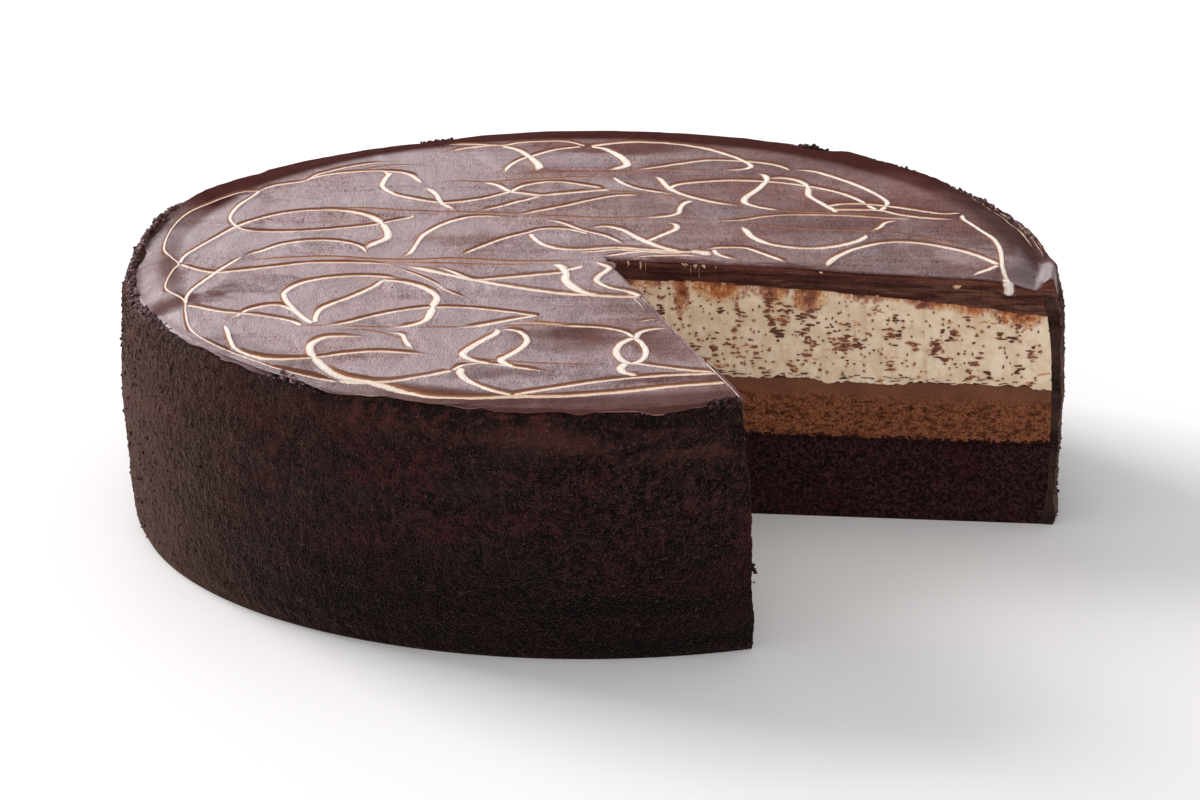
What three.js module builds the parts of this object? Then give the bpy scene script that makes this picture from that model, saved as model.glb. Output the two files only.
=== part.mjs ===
// A round layered chocolate cheesecake with one wedge taken out. Millimetres, +Z up.
// It stands on z = 0, the origin is under the middle of the whole round cake, and the
// missing wedge opens towards -Y and +X. From the floor up: dark sponge, chocolate mousse,
// cream with chocolate flecks, and a glossy ganache top, all inside a coat of cake crumbs.
import * as THREE from 'three';
import { mergeVertices } from 'three/addons/utils/BufferGeometryUtils.js';

// ---- driving dimensions -------------------------------------------------------------
const GAP = 0.3;                       // clearance between touching pieces

// where the knife went: the wedge's point, and the two cuts that leave it (degrees, +X = 0)
const TIP = new THREE.Vector2(3.5, -5.5);
const SHOWN_CUT = -8.0;
const TURNED_CUT = 286.7;
const TURNED_CUT_LEAN = 1.7;           // the knife leaned: more of the cake is left at the floor

// the wall of the cake
const WIDEST_RADIUS = 124.8;
const WIDEST_HEIGHT = 45;
const RIM_HEIGHT = 66;
const BASE_TUCK = 2.4;                 // how far the wall draws in at the floor
const RIM_TUCK = 2.4;                  // and at the rim
const BASE_ROUND = 1.3;                // the bottom edge is rounded off by this much
const BASE_ROUND_HEIGHT = 5;
const BASE_SHIFT = new THREE.Vector2(0.3, 1.5);   // the stack leans by this much at the floor

// the coat of crumbs
const COAT_AT_BASE = 1.9;
const COAT_AT_RIM = 3.4;
const CRUMB_RELIEF = 0.4;              // grains standing out of the wall
const RIM_RELIEF = 0.9;                // coarser crumbs along the rim
const RIM_PROUD = 0.3;                 // the rim stands above the ganache beside it

// the flat of the ganache and the shoulder that rounds off to the rim
const CROWN_HEIGHT = 69.3;
const CROWN_FALL = 0.5;                // the middle is this much higher than the edge of the flat
const SLOPE_TO_RIGHT = -1.5;           // rise of the top over one flat radius, +X
const SLOPE_TO_BACK = 1.6;             // and +Y
const FLAT_RADIUS = 109;
const SHOULDER_WIDTH = 15;
const SHOULDER_DEPTH = 4.0;            // of the rounding, before these changes to it:
const SHOULDER_CHANGES = [             // more where the ganache ran down, less where it piled up
  { at: 2, spread: 28, height: 10 },
  { at: 46, spread: 12, height: -4 },
  { at: 117, spread: 18, height: 3.3 },
  { at: 156, spread: 12, height: -4.5 },
  { at: 189, spread: 15, height: 10.5 },
  { at: 238, spread: 9, height: 3.5 },
  { at: 282, spread: 16, height: -2.7 },
];
const RIM_RISES = [                    // where the rim stands up above the ganache
  { at: -8, spread: 8, height: 4.5 },
  { at: 168, spread: 8, height: 1 },
];

// the layers under it
const SPONGE_TOP = 22.2;
const MOUSSE_TOP = 38.4;
const MOUSSE_FALL = 1.0;               // lower by this much at the wall
const CREAM_TOP = 63.8;
const CREAM_FALL = 7.0;
const CREAM_FALL_POWER = 2.4;
const LAYER_RIPPLE = 0.35;             // unevenness where two layers meet

// how finely the solids are divided
const DIRECTIONS = 54;
const COAT_DIRECTIONS = 140;
const LAYER_RINGS = [0.16, 0.36, 0.56, 0.75, 0.9];
const TOP_RINGS = [0.2, 0.45, 0.68, 0.84, 0.88, 0.91, 0.94, 0.965, 0.985];
const COAT_ROWS = 11;
const COAT_INNER_ROWS = 7;
const SEED = 20417;

// ---- small helpers ------------------------------------------------------------------
const radians = THREE.MathUtils.degToRad;
const mix = THREE.MathUtils.lerp;

// A repeatable draw between -1 and 1 for a pair of whole numbers.
function draw(i, j) {
  const s = Math.sin(i * 127.1 + j * 311.7 + SEED) * 43758.5453;
  return 2 * (s - Math.floor(s)) - 1;
}

// Slow waves over the plan, between -1 and 1, for surfaces spread by hand.
function waves(x, y, turn) {
  return 0.5 * Math.sin(x / 13 + turn) * Math.cos(y / 17 - turn)
    + 0.5 * Math.sin((x + y) / 23 + 2 * turn);
}

// ---- the cake's outer form ----------------------------------------------------------
function wallRadius(z) {
  const below = Math.max(WIDEST_HEIGHT - z, 0) / WIDEST_HEIGHT;
  const above = Math.max(z - WIDEST_HEIGHT, 0) / (RIM_HEIGHT - WIDEST_HEIGHT);
  const edge = Math.max(BASE_ROUND_HEIGHT - z, 0) / BASE_ROUND_HEIGHT;
  return WIDEST_RADIUS - BASE_TUCK * below ** 2 - RIM_TUCK * above ** 2 - BASE_ROUND * edge ** 2;
}

function coatThickness(z) {
  return mix(COAT_AT_BASE, COAT_AT_RIM, (z / RIM_HEIGHT) ** 2);
}

function axisAt(z) {
  return BASE_SHIFT.clone().multiplyScalar(1 - z / WIDEST_HEIGHT);
}

// Distance from the wedge's point, along a direction, to a circle about the axis at height z.
function reach(direction, radius, z) {
  const from = TIP.clone().sub(axisAt(z));
  const along = from.dot(direction);
  return -along + Math.sqrt(along ** 2 - from.lengthSq() + radius ** 2);
}

// Sum of bumps over the direction of a place: each is highest at its own direction, in degrees,
// and fades out on both sides of it.
function bumpsAt(x, y, bumps) {
  const angle = THREE.MathUtils.radToDeg(Math.atan2(y, x));
  let total = 0;
  for (const { at, spread, height } of bumps) {
    const away = THREE.MathUtils.euclideanModulo(angle - at + 180, 360) - 180;
    total += height * Math.exp(-((away / spread) ** 2));
  }
  return total;
}

function shoulderDrop(x, y) {
  const t = Math.min(Math.max((Math.hypot(x, y) - FLAT_RADIUS) / SHOULDER_WIDTH, 0), 0.98);
  return (SHOULDER_DEPTH + bumpsAt(x, y, SHOULDER_CHANGES)) * (1 - Math.sqrt(1 - t ** 2));
}

function ganacheTop(x, y) {
  return CROWN_HEIGHT
    + (SLOPE_TO_RIGHT * x + SLOPE_TO_BACK * y) / FLAT_RADIUS
    - CROWN_FALL * Math.min(Math.hypot(x, y) / FLAT_RADIUS, 1) ** 2
    - shoulderDrop(x, y);
}

function spongeTop(x, y) {
  return SPONGE_TOP + LAYER_RIPPLE * waves(x, y, 1);
}

function mousseTop(x, y) {
  const out = Math.hypot(x, y) / WIDEST_RADIUS;
  return MOUSSE_TOP - MOUSSE_FALL * out ** 2 + LAYER_RIPPLE * waves(x, y, 2.3);
}

function creamTop(x, y) {
  const out = Math.hypot(x, y) / WIDEST_RADIUS;
  return CREAM_TOP - CREAM_FALL * out ** CREAM_FALL_POWER + LAYER_RIPPLE * waves(x, y, 4);
}

const raised = (surface) => (x, y) => surface(x, y) + GAP;
const floorLevel = () => 0;

// ---- solids swept round the wedge's point -------------------------------------------
// sectionAt(direction, k) gives a closed outline of [distance, height] pairs, counter-
// clockwise, with the same number of pairs for every direction. Neighbouring sections are
// joined by quads and the two sections at the cuts are filled.
function sweep(count, sectionAt) {
  const points = [];
  const faces = [];
  const sections = [];
  for (let k = 0; k <= count; k++) {
    const angle = radians(mix(SHOWN_CUT, TURNED_CUT, k / count));
    const direction = new THREE.Vector2(Math.cos(angle), Math.sin(angle));
    const section = sectionAt(direction, k);
    sections.push(section);
    for (const [distance, height] of section) {
      const lean = radians(TURNED_CUT_LEAN) * (1 - height / RIM_HEIGHT) * (k / count) ** 10;
      points.push(
        TIP.x + Math.cos(angle + lean) * distance,
        TIP.y + Math.sin(angle + lean) * distance,
        height,
      );
    }
  }
  const size = sections[0].length;
  const onTip = (a) => sections[0][a][0] === 0;
  for (let k = 0; k < count; k++) {
    for (let a = 0; a < size; a++) {
      const b = (a + 1) % size;
      const here = k * size;
      const next = here + size;
      if (!onTip(a)) faces.push(here + a, next + a, next + b);
      if (!onTip(b)) faces.push(here + a, next + b, here + b);
    }
  }
  fillCut(faces, sections[0], 0, false);
  fillCut(faces, sections[count], count * size, true);
  const geometry = new THREE.BufferGeometry();
  geometry.setAttribute('position', new THREE.Float32BufferAttribute(points, 3));
  geometry.setIndex(faces);
  return mergeVertices(geometry, 1e-4);
}

function fillCut(faces, section, first, reversed) {
  const outline = section.map(([distance, height]) => new THREE.Vector2(distance, height));
  for (const [a, b, c] of THREE.ShapeUtils.triangulateShape(outline, [])) {
    const ab = outline[b].clone().sub(outline[a]);
    const ac = outline[c].clone().sub(outline[a]);
    const counterClockwise = ab.cross(ac) > 0;
    if (counterClockwise !== reversed) faces.push(first + a, first + b, first + c);
    else faces.push(first + a, first + c, first + b);
  }
}

// One layer from the wedge's point out to the inside of the crumb coat.
function layer({ bottom, bottomRings, top, topRings }) {
  const sideRadius = (z) => wallRadius(z) - coatThickness(z) - GAP;
  return sweep(DIRECTIONS, (direction) => {
    const at = (surface, s) => surface(TIP.x + direction.x * s, TIP.y + direction.y * s);
    const edge = (surface) => {
      let s = WIDEST_RADIUS;
      for (let pass = 0; pass < 4; pass++) {
        const z = at(surface, s);
        s = reach(direction, sideRadius(z), z);
      }
      return [s, at(surface, s)];
    };
    const [lowReach, low] = edge(bottom);
    const [highReach, high] = edge(top);
    const middle = (low + high) / 2;
    const section = [[0, at(bottom, 0)]];
    for (const f of bottomRings) section.push([f * lowReach, at(bottom, f * lowReach)]);
    section.push([lowReach, low]);
    section.push([reach(direction, sideRadius(middle), middle), middle]);
    section.push([highReach, high]);
    for (const f of [...topRings].reverse()) {
      section.push([f * highReach, at(top, f * highReach)]);
    }
    section.push([0, at(top, 0)]);
    return section;
  });
}

// The coat: out along the floor, up the grainy wall, over the ragged rim and down inside.
function crumbCoat() {
  return sweep(COAT_DIRECTIONS, (direction, k) => {
    const inside = (z) => reach(direction, wallRadius(z) - coatThickness(z), z);
    const rimReach = inside(RIM_HEIGHT - 2);
    const rimX = TIP.x + direction.x * rimReach;
    const rimY = TIP.y + direction.y * rimReach;
    const rim = ganacheTop(rimX, rimY) + bumpsAt(rimX, rimY, RIM_RISES)
      + RIM_PROUD + RIM_RELIEF * 0.4 * (1 + draw(k, 90));
    const shoulder = rim - 1.6 + RIM_RELIEF * 0.5 * draw(k, 91);
    const section = [];
    for (let row = 0; row <= COAT_ROWS; row++) {
      const z = shoulder * row / COAT_ROWS;
      const coarse = row > COAT_ROWS - 3 ? RIM_RELIEF : CRUMB_RELIEF;
      const relief = row === 0 ? 0 : coarse * draw(k, row);
      section.push([reach(direction, wallRadius(z), z) + relief * 0.5 - 0.1, z]);
    }
    section.push([reach(direction, wallRadius(rim) - 1.3, rim) + 0.3 * draw(k, 92), rim]);
    section.push([inside(rim) + 0.15, rim - 0.3]);
    for (let row = COAT_INNER_ROWS - 1; row >= 0; row--) {
      const z = (rim - 3) * row / (COAT_INNER_ROWS - 1);
      section.push([inside(z), z]);
    }
    return section;
  });
}

// ---- the cake -----------------------------------------------------------------------
function piece(name, geometry, look) {
  const mesh = new THREE.Mesh(geometry, new THREE.MeshStandardMaterial(look));
  mesh.name = name;
  return mesh;
}

const cake = new THREE.Group();

cake.add(piece('sponge_base', layer({
  bottom: floorLevel, bottomRings: [], top: spongeTop, topRings: LAYER_RINGS,
}), { color: 0x2c1a17, roughness: 0.95, metalness: 0 }));

cake.add(piece('mousse_layer', layer({
  bottom: raised(spongeTop), bottomRings: LAYER_RINGS, top: mousseTop, topRings: LAYER_RINGS,
}), { color: 0x7a4a2c, roughness: 0.8, metalness: 0 }));

cake.add(piece('cream_layer', layer({
  bottom: raised(mousseTop), bottomRings: LAYER_RINGS, top: creamTop, topRings: LAYER_RINGS,
}), { color: 0xd8c7a4, roughness: 0.65, metalness: 0 }));

cake.add(piece('ganache_top', layer({
  bottom: raised(creamTop), bottomRings: LAYER_RINGS, top: ganacheTop, topRings: TOP_RINGS,
}), { color: 0x4a2f2a, roughness: 0.35, metalness: 0 }));

cake.add(piece('crumb_coat', crumbCoat(), { color: 0x2a1a17, roughness: 0.95, metalness: 0 }));

export default cake;
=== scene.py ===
"""Looks of a round layered chocolate cheesecake with one wedge taken out.

Sizes are in millimetres until a mesh is made, then metres; +Z is up and the cake stands on z = 0.
Every layer is one closed skin worked out on grids, with fine relief where the knife cut it.
"""

import math

import bpy
import numpy as np
from mathutils import Matrix, Vector


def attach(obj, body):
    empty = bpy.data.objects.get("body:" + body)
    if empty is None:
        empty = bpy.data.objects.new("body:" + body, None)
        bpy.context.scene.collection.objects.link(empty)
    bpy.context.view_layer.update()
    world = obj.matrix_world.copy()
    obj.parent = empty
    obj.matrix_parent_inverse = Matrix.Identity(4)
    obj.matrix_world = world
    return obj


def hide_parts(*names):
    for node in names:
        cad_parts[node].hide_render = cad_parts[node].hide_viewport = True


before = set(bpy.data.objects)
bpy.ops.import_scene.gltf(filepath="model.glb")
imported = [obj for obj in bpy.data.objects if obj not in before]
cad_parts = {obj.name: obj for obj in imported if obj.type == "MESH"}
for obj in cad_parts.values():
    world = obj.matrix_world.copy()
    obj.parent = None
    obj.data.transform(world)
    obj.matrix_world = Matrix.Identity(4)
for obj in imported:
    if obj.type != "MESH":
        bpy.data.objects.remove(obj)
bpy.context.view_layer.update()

MM = 0.001

# ---- sizes that the solids have too --------------------------------------------------------
GAP = 0.3                                # clearance between touching solids
TIP = np.array([3.5, -5.5])              # where the two cuts meet
SHOWN_CUT = -8.0                         # direction of the cut that is shown, degrees, +X is 0
TURNED_CUT = 286.7                       # direction of the one that is turned away
TURNED_CUT_LEAN = 1.7                    # by how much more it is turned at its foot

WIDEST_RADIUS = 124.8
WIDEST_HEIGHT = 45.0
RIM_HEIGHT = 66.0
BASE_TUCK = 2.4
RIM_TUCK = 2.4
BASE_ROUND = 1.3
BASE_ROUND_HEIGHT = 5.0
BASE_SHIFT = np.array([0.3, 1.5])        # how far the foot of the wall lies off the middle

COAT_AT_BASE = 1.9
COAT_AT_RIM = 3.4
RIM_PROUD = 0.3

CROWN_HEIGHT = 69.3
CROWN_FALL = 0.5
SLOPE_TO_RIGHT = -1.5
SLOPE_TO_BACK = 1.6
FLAT_RADIUS = 109.0
SHOULDER_WIDTH = 15.0
SHOULDER_DEPTH = 4.0
SHOULDER_CHANGES = [(2, 28, 10), (46, 12, -4), (117, 18, 3.3), (156, 12, -4.5), (189, 15, 10.5),
                    (238, 9, 3.5), (282, 16, -2.7)]     # direction, spread (degrees), height
RIM_RISES = [(-8, 8, 4.5), (168, 8, 1)]                 # the same, of the rim alone

SPONGE_TOP = 22.2
MOUSSE_TOP = 38.4
MOUSSE_FALL = 1.0
CREAM_TOP = 63.8
CREAM_FALL = 7.0
CREAM_FALL_POWER = 2.4
LAYER_RIPPLE = 0.35

# ---- sizes of what only shows close up -----------------------------------------------------
EDGE_RAISED, EDGE_WIDE = 0.7, 3.5        # how far the knife drew up the shown cut's edge
LEVEL_FOR_EDGE = 40.0                    # a layer's edge is first looked for at this height
CUT_ROUND = (1.0, 0.45)                  # rounding of the ganache along the shown and turned cut
RIM_INNER = 119.0                        # past this the ganache lies level on the coat
LIP_PROUD = 0.10                         # how far the ganache stands out over the crumbs
LIP_SHORT = 1.9                          # how far it stops short where crumbs lie on the rim
LIP_ROUND = 0.8                          # rounding of its outer edge
LIP_OVER = 0.75                          # the coat's crest is this far under it
RISE_FROM, RISE_TO = 116.5, 121.0        # radii between which the ganache climbs a raised rim
CRINKLED = [                             # direction, spread, strength of creases by the rim
    (32, 30, 2.0), (268, 24, 0.9), (150, 25, 0.9),
]
CRUMBED = [                              # direction, spread, share of crumbs lying on the rim
    (179, 24, 1.0), (199, 7, 0.6), (228, 3.2, 0.8), (286, 4.5, 1.0), (61, 3, 0.9), (49, 6, 0.45),
    (22, 13, 0.6), (112, 3, 0.6),
]
COAT_BACK = (0.12, 0.85)                 # how far the coat lies behind the shown and turned cut
DENTS = [                                # x, y, spread, depth of hollows in the ganache
    (112.0, -15.0, 6.5, 1.9), (-78.0, -52.0, 9.0, 0.55), (-92.0, 12.0, 10.0, 0.4),
    (-40.0, 66.0, 13.0, 0.35), (52.0, 46.0, 12.0, 0.3), (12.0, -84.0, 12.0, 0.3),
]
SHADED = [      # x, y, spreads and strength of painted shade, patches that shine less and are darker, or painted light if below 0
    (-109.0, -12.0, 6.0, 13, 0.7), (-100.0, -37.0, 11, 7, 1.1), (-92.0, -31.0, 11, 7, 1.1),
    (-83.0, -24.0, 12, 7, 0.9), (-111.0, -40.0, 11, 12, 1.4), (-74.0, -19.0, 11, 6, 0.5),
    (-104.0, -53.0, 8, 8, 0.5), (-76.0, 38.0, 13, 5, 0.35), (-58.0, -56.0, 12, 5, 0.4),
    (-30.0, -18.0, 20, 5, 0.35), (78.0, 8.0, 14, 4, 0.4), (-20.0, 96.0, 16, 6, 0.4),
    (-5.0, -74.0, 19, 17, 1.0), (-12.0, -66.0, 14, 9, 0.4), (21.0, -74.0, 12, 13, 1.1),
    (4.0, -47.0, 26, 8, 0.6), (19.0, -101.0, 22, 6, 1.2), (-24.0, -98.0, 13, 6, 1.0),
    (17.0, 100.0, 28, 9, 1.4), (-8.0, 103.0, 12, 5, 0.8), (-34.0, 14.0, 24, 9, 0.6),
    (-107.0, 62.0, 9, 10, 1.2), (22.0, -6.5, 18, 4, 1.4), (48.0, -10.0, 18, 3.5, 1.1),
    (-86.0, 60.0, 13, 8, -0.3), (70.0, 66.0, 26, 15, -1.4), (92.0, 51.0, 16, 11, -1.1),
    (101.0, -1.0, 14, 10, -1.6), (-97.0, 49.0, 9, 12, 0.9), (-60.0, -84.0, 16, 9, 0.4),
    (5.0, -68.0, 18, 12, 0.4), (16.0, 40.0, 18, 12, 0.35), (-68.0, 4.0, 16, 7, 0.3),
    (92.0, 42.0, 15, 12, 0.5), (104.5, 0.0, 4.5, 20, 0.7), (62.0, 24.0, 15, 8, 0.3),
]
SHARP_FROM = 58                          # degrees between two faces that make a sharp edge
SEED = 20417


# ---- plain maths on whole arrays -----------------------------------------------------------
def mix(a, b, t):
    """a where t is 0, b where t is 1."""
    return a + (b - a) * t


def ease(low, high, x):
    """0 below low, 1 above high, and a smooth S between."""
    t = np.clip((x - low) / (high - low), 0, 1)
    return t * t * (3 - 2 * t)


def bell(x, at, spread, power=2):
    """1 at a place, fading on both sides as the exponent of the distance over the spread."""
    return np.exp(-((x - at) / spread) ** power)


def draw(i, j, seed):
    """A repeatable draw between 0 and 1 for whole numbers: the fraction of a large sine."""
    s = np.sin(i * 127.1 + j * 311.7 + seed * 74.7) * 43758.5453
    return s - np.floor(s)


def drift(u, v, seed):
    """Smooth noise between -1 and 1: draws at whole numbers, eased between four neighbours."""
    i, j = np.floor(u), np.floor(v)
    f, g = u - i, v - j
    f, g = f * f * (3 - 2 * f), g * g * (3 - 2 * g)
    low = mix(draw(i, j, seed), draw(i + 1, j, seed), f)
    high = mix(draw(i, j + 1, seed), draw(i + 1, j + 1, seed), f)
    return 2 * mix(low, high, g) - 1


def rough(u, v, seed, octaves=3):
    """Drift added to itself at twice the pitch and half the height, octaves times."""
    total = 0
    for n in range(octaves):
        total = total + drift(u * 2 ** n, v * 2 ** n, seed + n) / 2 ** n
    return total / (2 - 0.5 ** (octaves - 1))


def pebbles(u, v, seed):
    """Domes from 0 to 1 over a jittered net: one less the squared distance to the nearest."""
    i, j = np.floor(u), np.floor(v)
    best = np.zeros(np.broadcast(u, v).shape)
    for di in (-1, 0, 1):
        for dj in (-1, 0, 1):
            a, b = i + di, j + dj
            du = a + draw(a, b, seed) - u
            dv = b + draw(a, b, seed + 1) - v
            size = 0.55 + 0.6 * draw(a, b, seed + 2)
            best = np.maximum(best, size * (1 - (du ** 2 + dv ** 2) / size ** 2))
    return best


# ---- the cake's form -----------------------------------------------------------------------
def waves(x, y, turn):
    """Slow waves over the plan, between -1 and 1, for surfaces spread by hand."""
    return (0.5 * np.sin(x / 13 + turn) * np.cos(y / 17 - turn)
            + 0.5 * np.sin((x + y) / 23 + 2 * turn))


def wall_radius(z):
    """Radius of the wall: widest in the middle, drawn in by squares above and below it."""
    below = np.maximum(WIDEST_HEIGHT - z, 0) / WIDEST_HEIGHT
    above = np.maximum(z - WIDEST_HEIGHT, 0) / (RIM_HEIGHT - WIDEST_HEIGHT)
    edge = np.maximum(BASE_ROUND_HEIGHT - z, 0) / BASE_ROUND_HEIGHT
    return WIDEST_RADIUS - BASE_TUCK * below ** 2 - RIM_TUCK * above ** 2 - BASE_ROUND * edge ** 2


def coat_thickness(z):
    """Thickness of the crumbs, growing with the square of the height."""
    return mix(COAT_AT_BASE, COAT_AT_RIM, (z / RIM_HEIGHT) ** 2)


def cut_angle(end):
    """Direction of the shown cut, end 0, or of the turned one, end 1, in radians."""
    return math.radians(TURNED_CUT if end else SHOWN_CUT)


def from_tip(angle, distance):
    """The place at a distance from the tip, along an angle."""
    return TIP[0] + np.cos(angle) * distance, TIP[1] + np.sin(angle) * distance


def reach(angle, radius, z):
    """Distance from the tip, along an angle, to a circle about the cake's axis at height z."""
    lean = 1 - z / WIDEST_HEIGHT
    qx, qy = TIP[0] - BASE_SHIFT[0] * lean, TIP[1] - BASE_SHIFT[1] * lean
    along = qx * np.cos(angle) + qy * np.sin(angle)
    return -along + np.sqrt(along ** 2 - qx ** 2 - qy ** 2 + radius ** 2)


def bumps_at(x, y, bumps):
    """Sum of bumps over the direction of a place, each fading as the exponent of a square."""
    angle = np.degrees(np.arctan2(y, x))
    total = 0
    for at, spread, height in bumps:
        total = total + height * np.exp(-(((angle - at + 180) % 360 - 180) / spread) ** 2)
    return total


def ganache_level(x, y):
    """Height of the ganache: a sloping flat with a slight crown and a quarter-round shoulder."""
    r = np.hypot(x, y)
    t = np.clip((r - FLAT_RADIUS) / SHOULDER_WIDTH, 0, 0.98)
    depth = SHOULDER_DEPTH + bumps_at(x, y, SHOULDER_CHANGES)
    return (CROWN_HEIGHT + (SLOPE_TO_RIGHT * x + SLOPE_TO_BACK * y) / FLAT_RADIUS
            - CROWN_FALL * np.minimum(r / FLAT_RADIUS, 1) ** 2
            - depth * (1 - np.sqrt(1 - t ** 2)))


def from_cut(x, y, degrees):
    """Distance of a place from one of the two cuts, which start at the tip."""
    px, py = x - TIP[0], y - TIP[1]
    ex, ey = math.cos(math.radians(degrees)), math.sin(math.radians(degrees))
    along = np.maximum(px * ex + py * ey, 0)
    return np.hypot(px - along * ex, py - along * ey)


def ganache_surface(x, y):
    """The ganache as spread: its level, with slow hollows and faint ridges along the drag.

    Past RIM_INNER it lies level on the coat, or climbs it where that is raised, and creases
    there. By the tip the shown cut's edge is drawn up a little. Close to a cut the ganache is
    rounded off by a quarter circle, as the knife left it.
    """
    r = np.maximum(np.hypot(x, y), 1)
    inside = np.minimum(RIM_INNER / r, 1)
    z = ganache_level(x * inside, y * inside)
    z = z + 0.20 * rough(x / 26, y / 18, 3) + 0.08 * rough(x / 9, y / 4, 7)
    z = z + bumps_at(x, y, RIM_RISES) * ease(RISE_FROM, RISE_TO, r)
    z = z + EDGE_RAISED * bell(from_cut(x, y, SHOWN_CUT), 0, EDGE_WIDE) * ease(75, 45, r)
    arc = np.arctan2(y, x) * WIDEST_RADIUS
    crinkled = bumps_at(x, y, CRINKLED) * ease(RISE_FROM, RISE_TO, r)
    z = z + crinkled * (0.45 * rough(arc / 5, r / 2.5, 199) + 0.25 * rough(arc / 1.6, r / 1.2, 203, 2))
    for at_x, at_y, spread, depth in DENTS:
        z = z - depth * np.exp(-((x - at_x) ** 2 + (y - at_y) ** 2) / spread ** 2)
    for degrees, wide in zip((SHOWN_CUT, TURNED_CUT), CUT_ROUND):
        t = np.clip(1 - from_cut(x, y, degrees) / wide, 0, 0.995)
        z = z - 0.8 * wide * (1 - np.sqrt(1 - t ** 2))
    return z


def sponge_level(x, y):
    """Top of the sponge: level, with slow waves."""
    return SPONGE_TOP + LAYER_RIPPLE * waves(x, y, 1)


def mousse_level(x, y):
    """Top of the mousse: falls outwards with the square of the distance."""
    out = np.hypot(x, y) / WIDEST_RADIUS
    return MOUSSE_TOP - MOUSSE_FALL * out ** 2 + LAYER_RIPPLE * waves(x, y, 2.3)


def cream_level(x, y):
    """Top of the cream: falls outwards with a power of the distance."""
    out = np.hypot(x, y) / WIDEST_RADIUS
    return CREAM_TOP - CREAM_FALL * out ** CREAM_FALL_POWER + LAYER_RIPPLE * waves(x, y, 4)


def at_tip(angle, lean, distance, height):
    """Points at distances from the tip; lean turns the angle more, the lower the point."""
    turned = angle + math.radians(TURNED_CUT_LEAN) * (1 - height / RIM_HEIGHT) * lean
    x, y = from_tip(turned, distance)
    return np.stack(np.broadcast_arrays(x, y, height), axis=-1)


# ---- closed skins from grids ---------------------------------------------------------------
class Skin:
    """Points and triangles of one mesh, gathered grid by grid."""

    def __init__(self):
        self.points, self.triangles, self.marks, self.count = [], [], [], 0

    def lay(self, points, mark=None):
        """Adds an array of points, with a mark of three numbers each, and returns their ids."""
        shape = points.shape[:-1]
        size = int(np.prod(shape))
        ids = np.arange(self.count, self.count + size).reshape(shape)
        self.points.append(points.reshape(-1, 3))
        self.marks.append(np.zeros((size, 3)) if mark is None else mark.reshape(-1, 3))
        self.count += size
        return ids

    def cover(self, ids, flip=False):
        """Two triangles for each cell of a grid; their fronts follow rows crossed with columns."""
        a, b, c, d = ids[:-1, :-1], ids[1:, :-1], ids[1:, 1:], ids[:-1, 1:]
        both = np.concatenate([np.stack([a, b, c], -1), np.stack([a, c, d], -1)]).reshape(-1, 3)
        self.triangles.append(both[:, ::-1] if flip else both)

    def fan(self, fine, coarse, flip=False):
        """Joins two rows where fine has a whole number of steps for each step of coarse."""
        steps = (len(fine) - 1) // (len(coarse) - 1)
        near = np.repeat(coarse[:-1], steps)
        wide = np.stack([fine[:-1], near, fine[1:]], -1)
        ends = np.stack([fine[steps::steps], coarse[:-1], coarse[1:]], -1)
        both = np.concatenate([wide, ends])
        self.triangles.append(both[:, ::-1] if flip else both)

    def object(self, name):
        """The mesh in metres, without triangles that have shrunk to a line, shaded smooth."""
        points = np.concatenate(self.points) * MM
        triangles = np.concatenate(self.triangles)
        a, b, c = triangles.T
        triangles = triangles[(a != b) & (b != c) & (c != a)]
        used, flat = np.unique(triangles, return_inverse=True)
        triangles = flat.reshape(-1, 3)
        mesh = bpy.data.meshes.new(name)
        mesh.vertices.add(len(used))
        mesh.vertices.foreach_set("co", points[used].astype(np.float32).ravel())
        mesh.loops.add(triangles.size)
        mesh.loops.foreach_set("vertex_index", triangles.astype(np.int32).ravel())
        mesh.polygons.add(len(triangles))
        mesh.polygons.foreach_set("loop_start", np.arange(0, triangles.size, 3, dtype=np.int32))
        mesh.update(calc_edges=True)
        marks = mesh.attributes.new("mark", "FLOAT_VECTOR", "POINT")
        marks.data.foreach_set("vector",
                               np.concatenate(self.marks)[used].astype(np.float32).ravel())
        mesh.polygons.foreach_set("use_smooth", np.ones(len(triangles), bool))
        mesh.set_sharp_from_angle(angle=math.radians(SHARP_FROM))
        piece = bpy.data.objects.new(name, mesh)
        bpy.context.scene.collection.objects.link(piece)
        return piece


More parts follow.
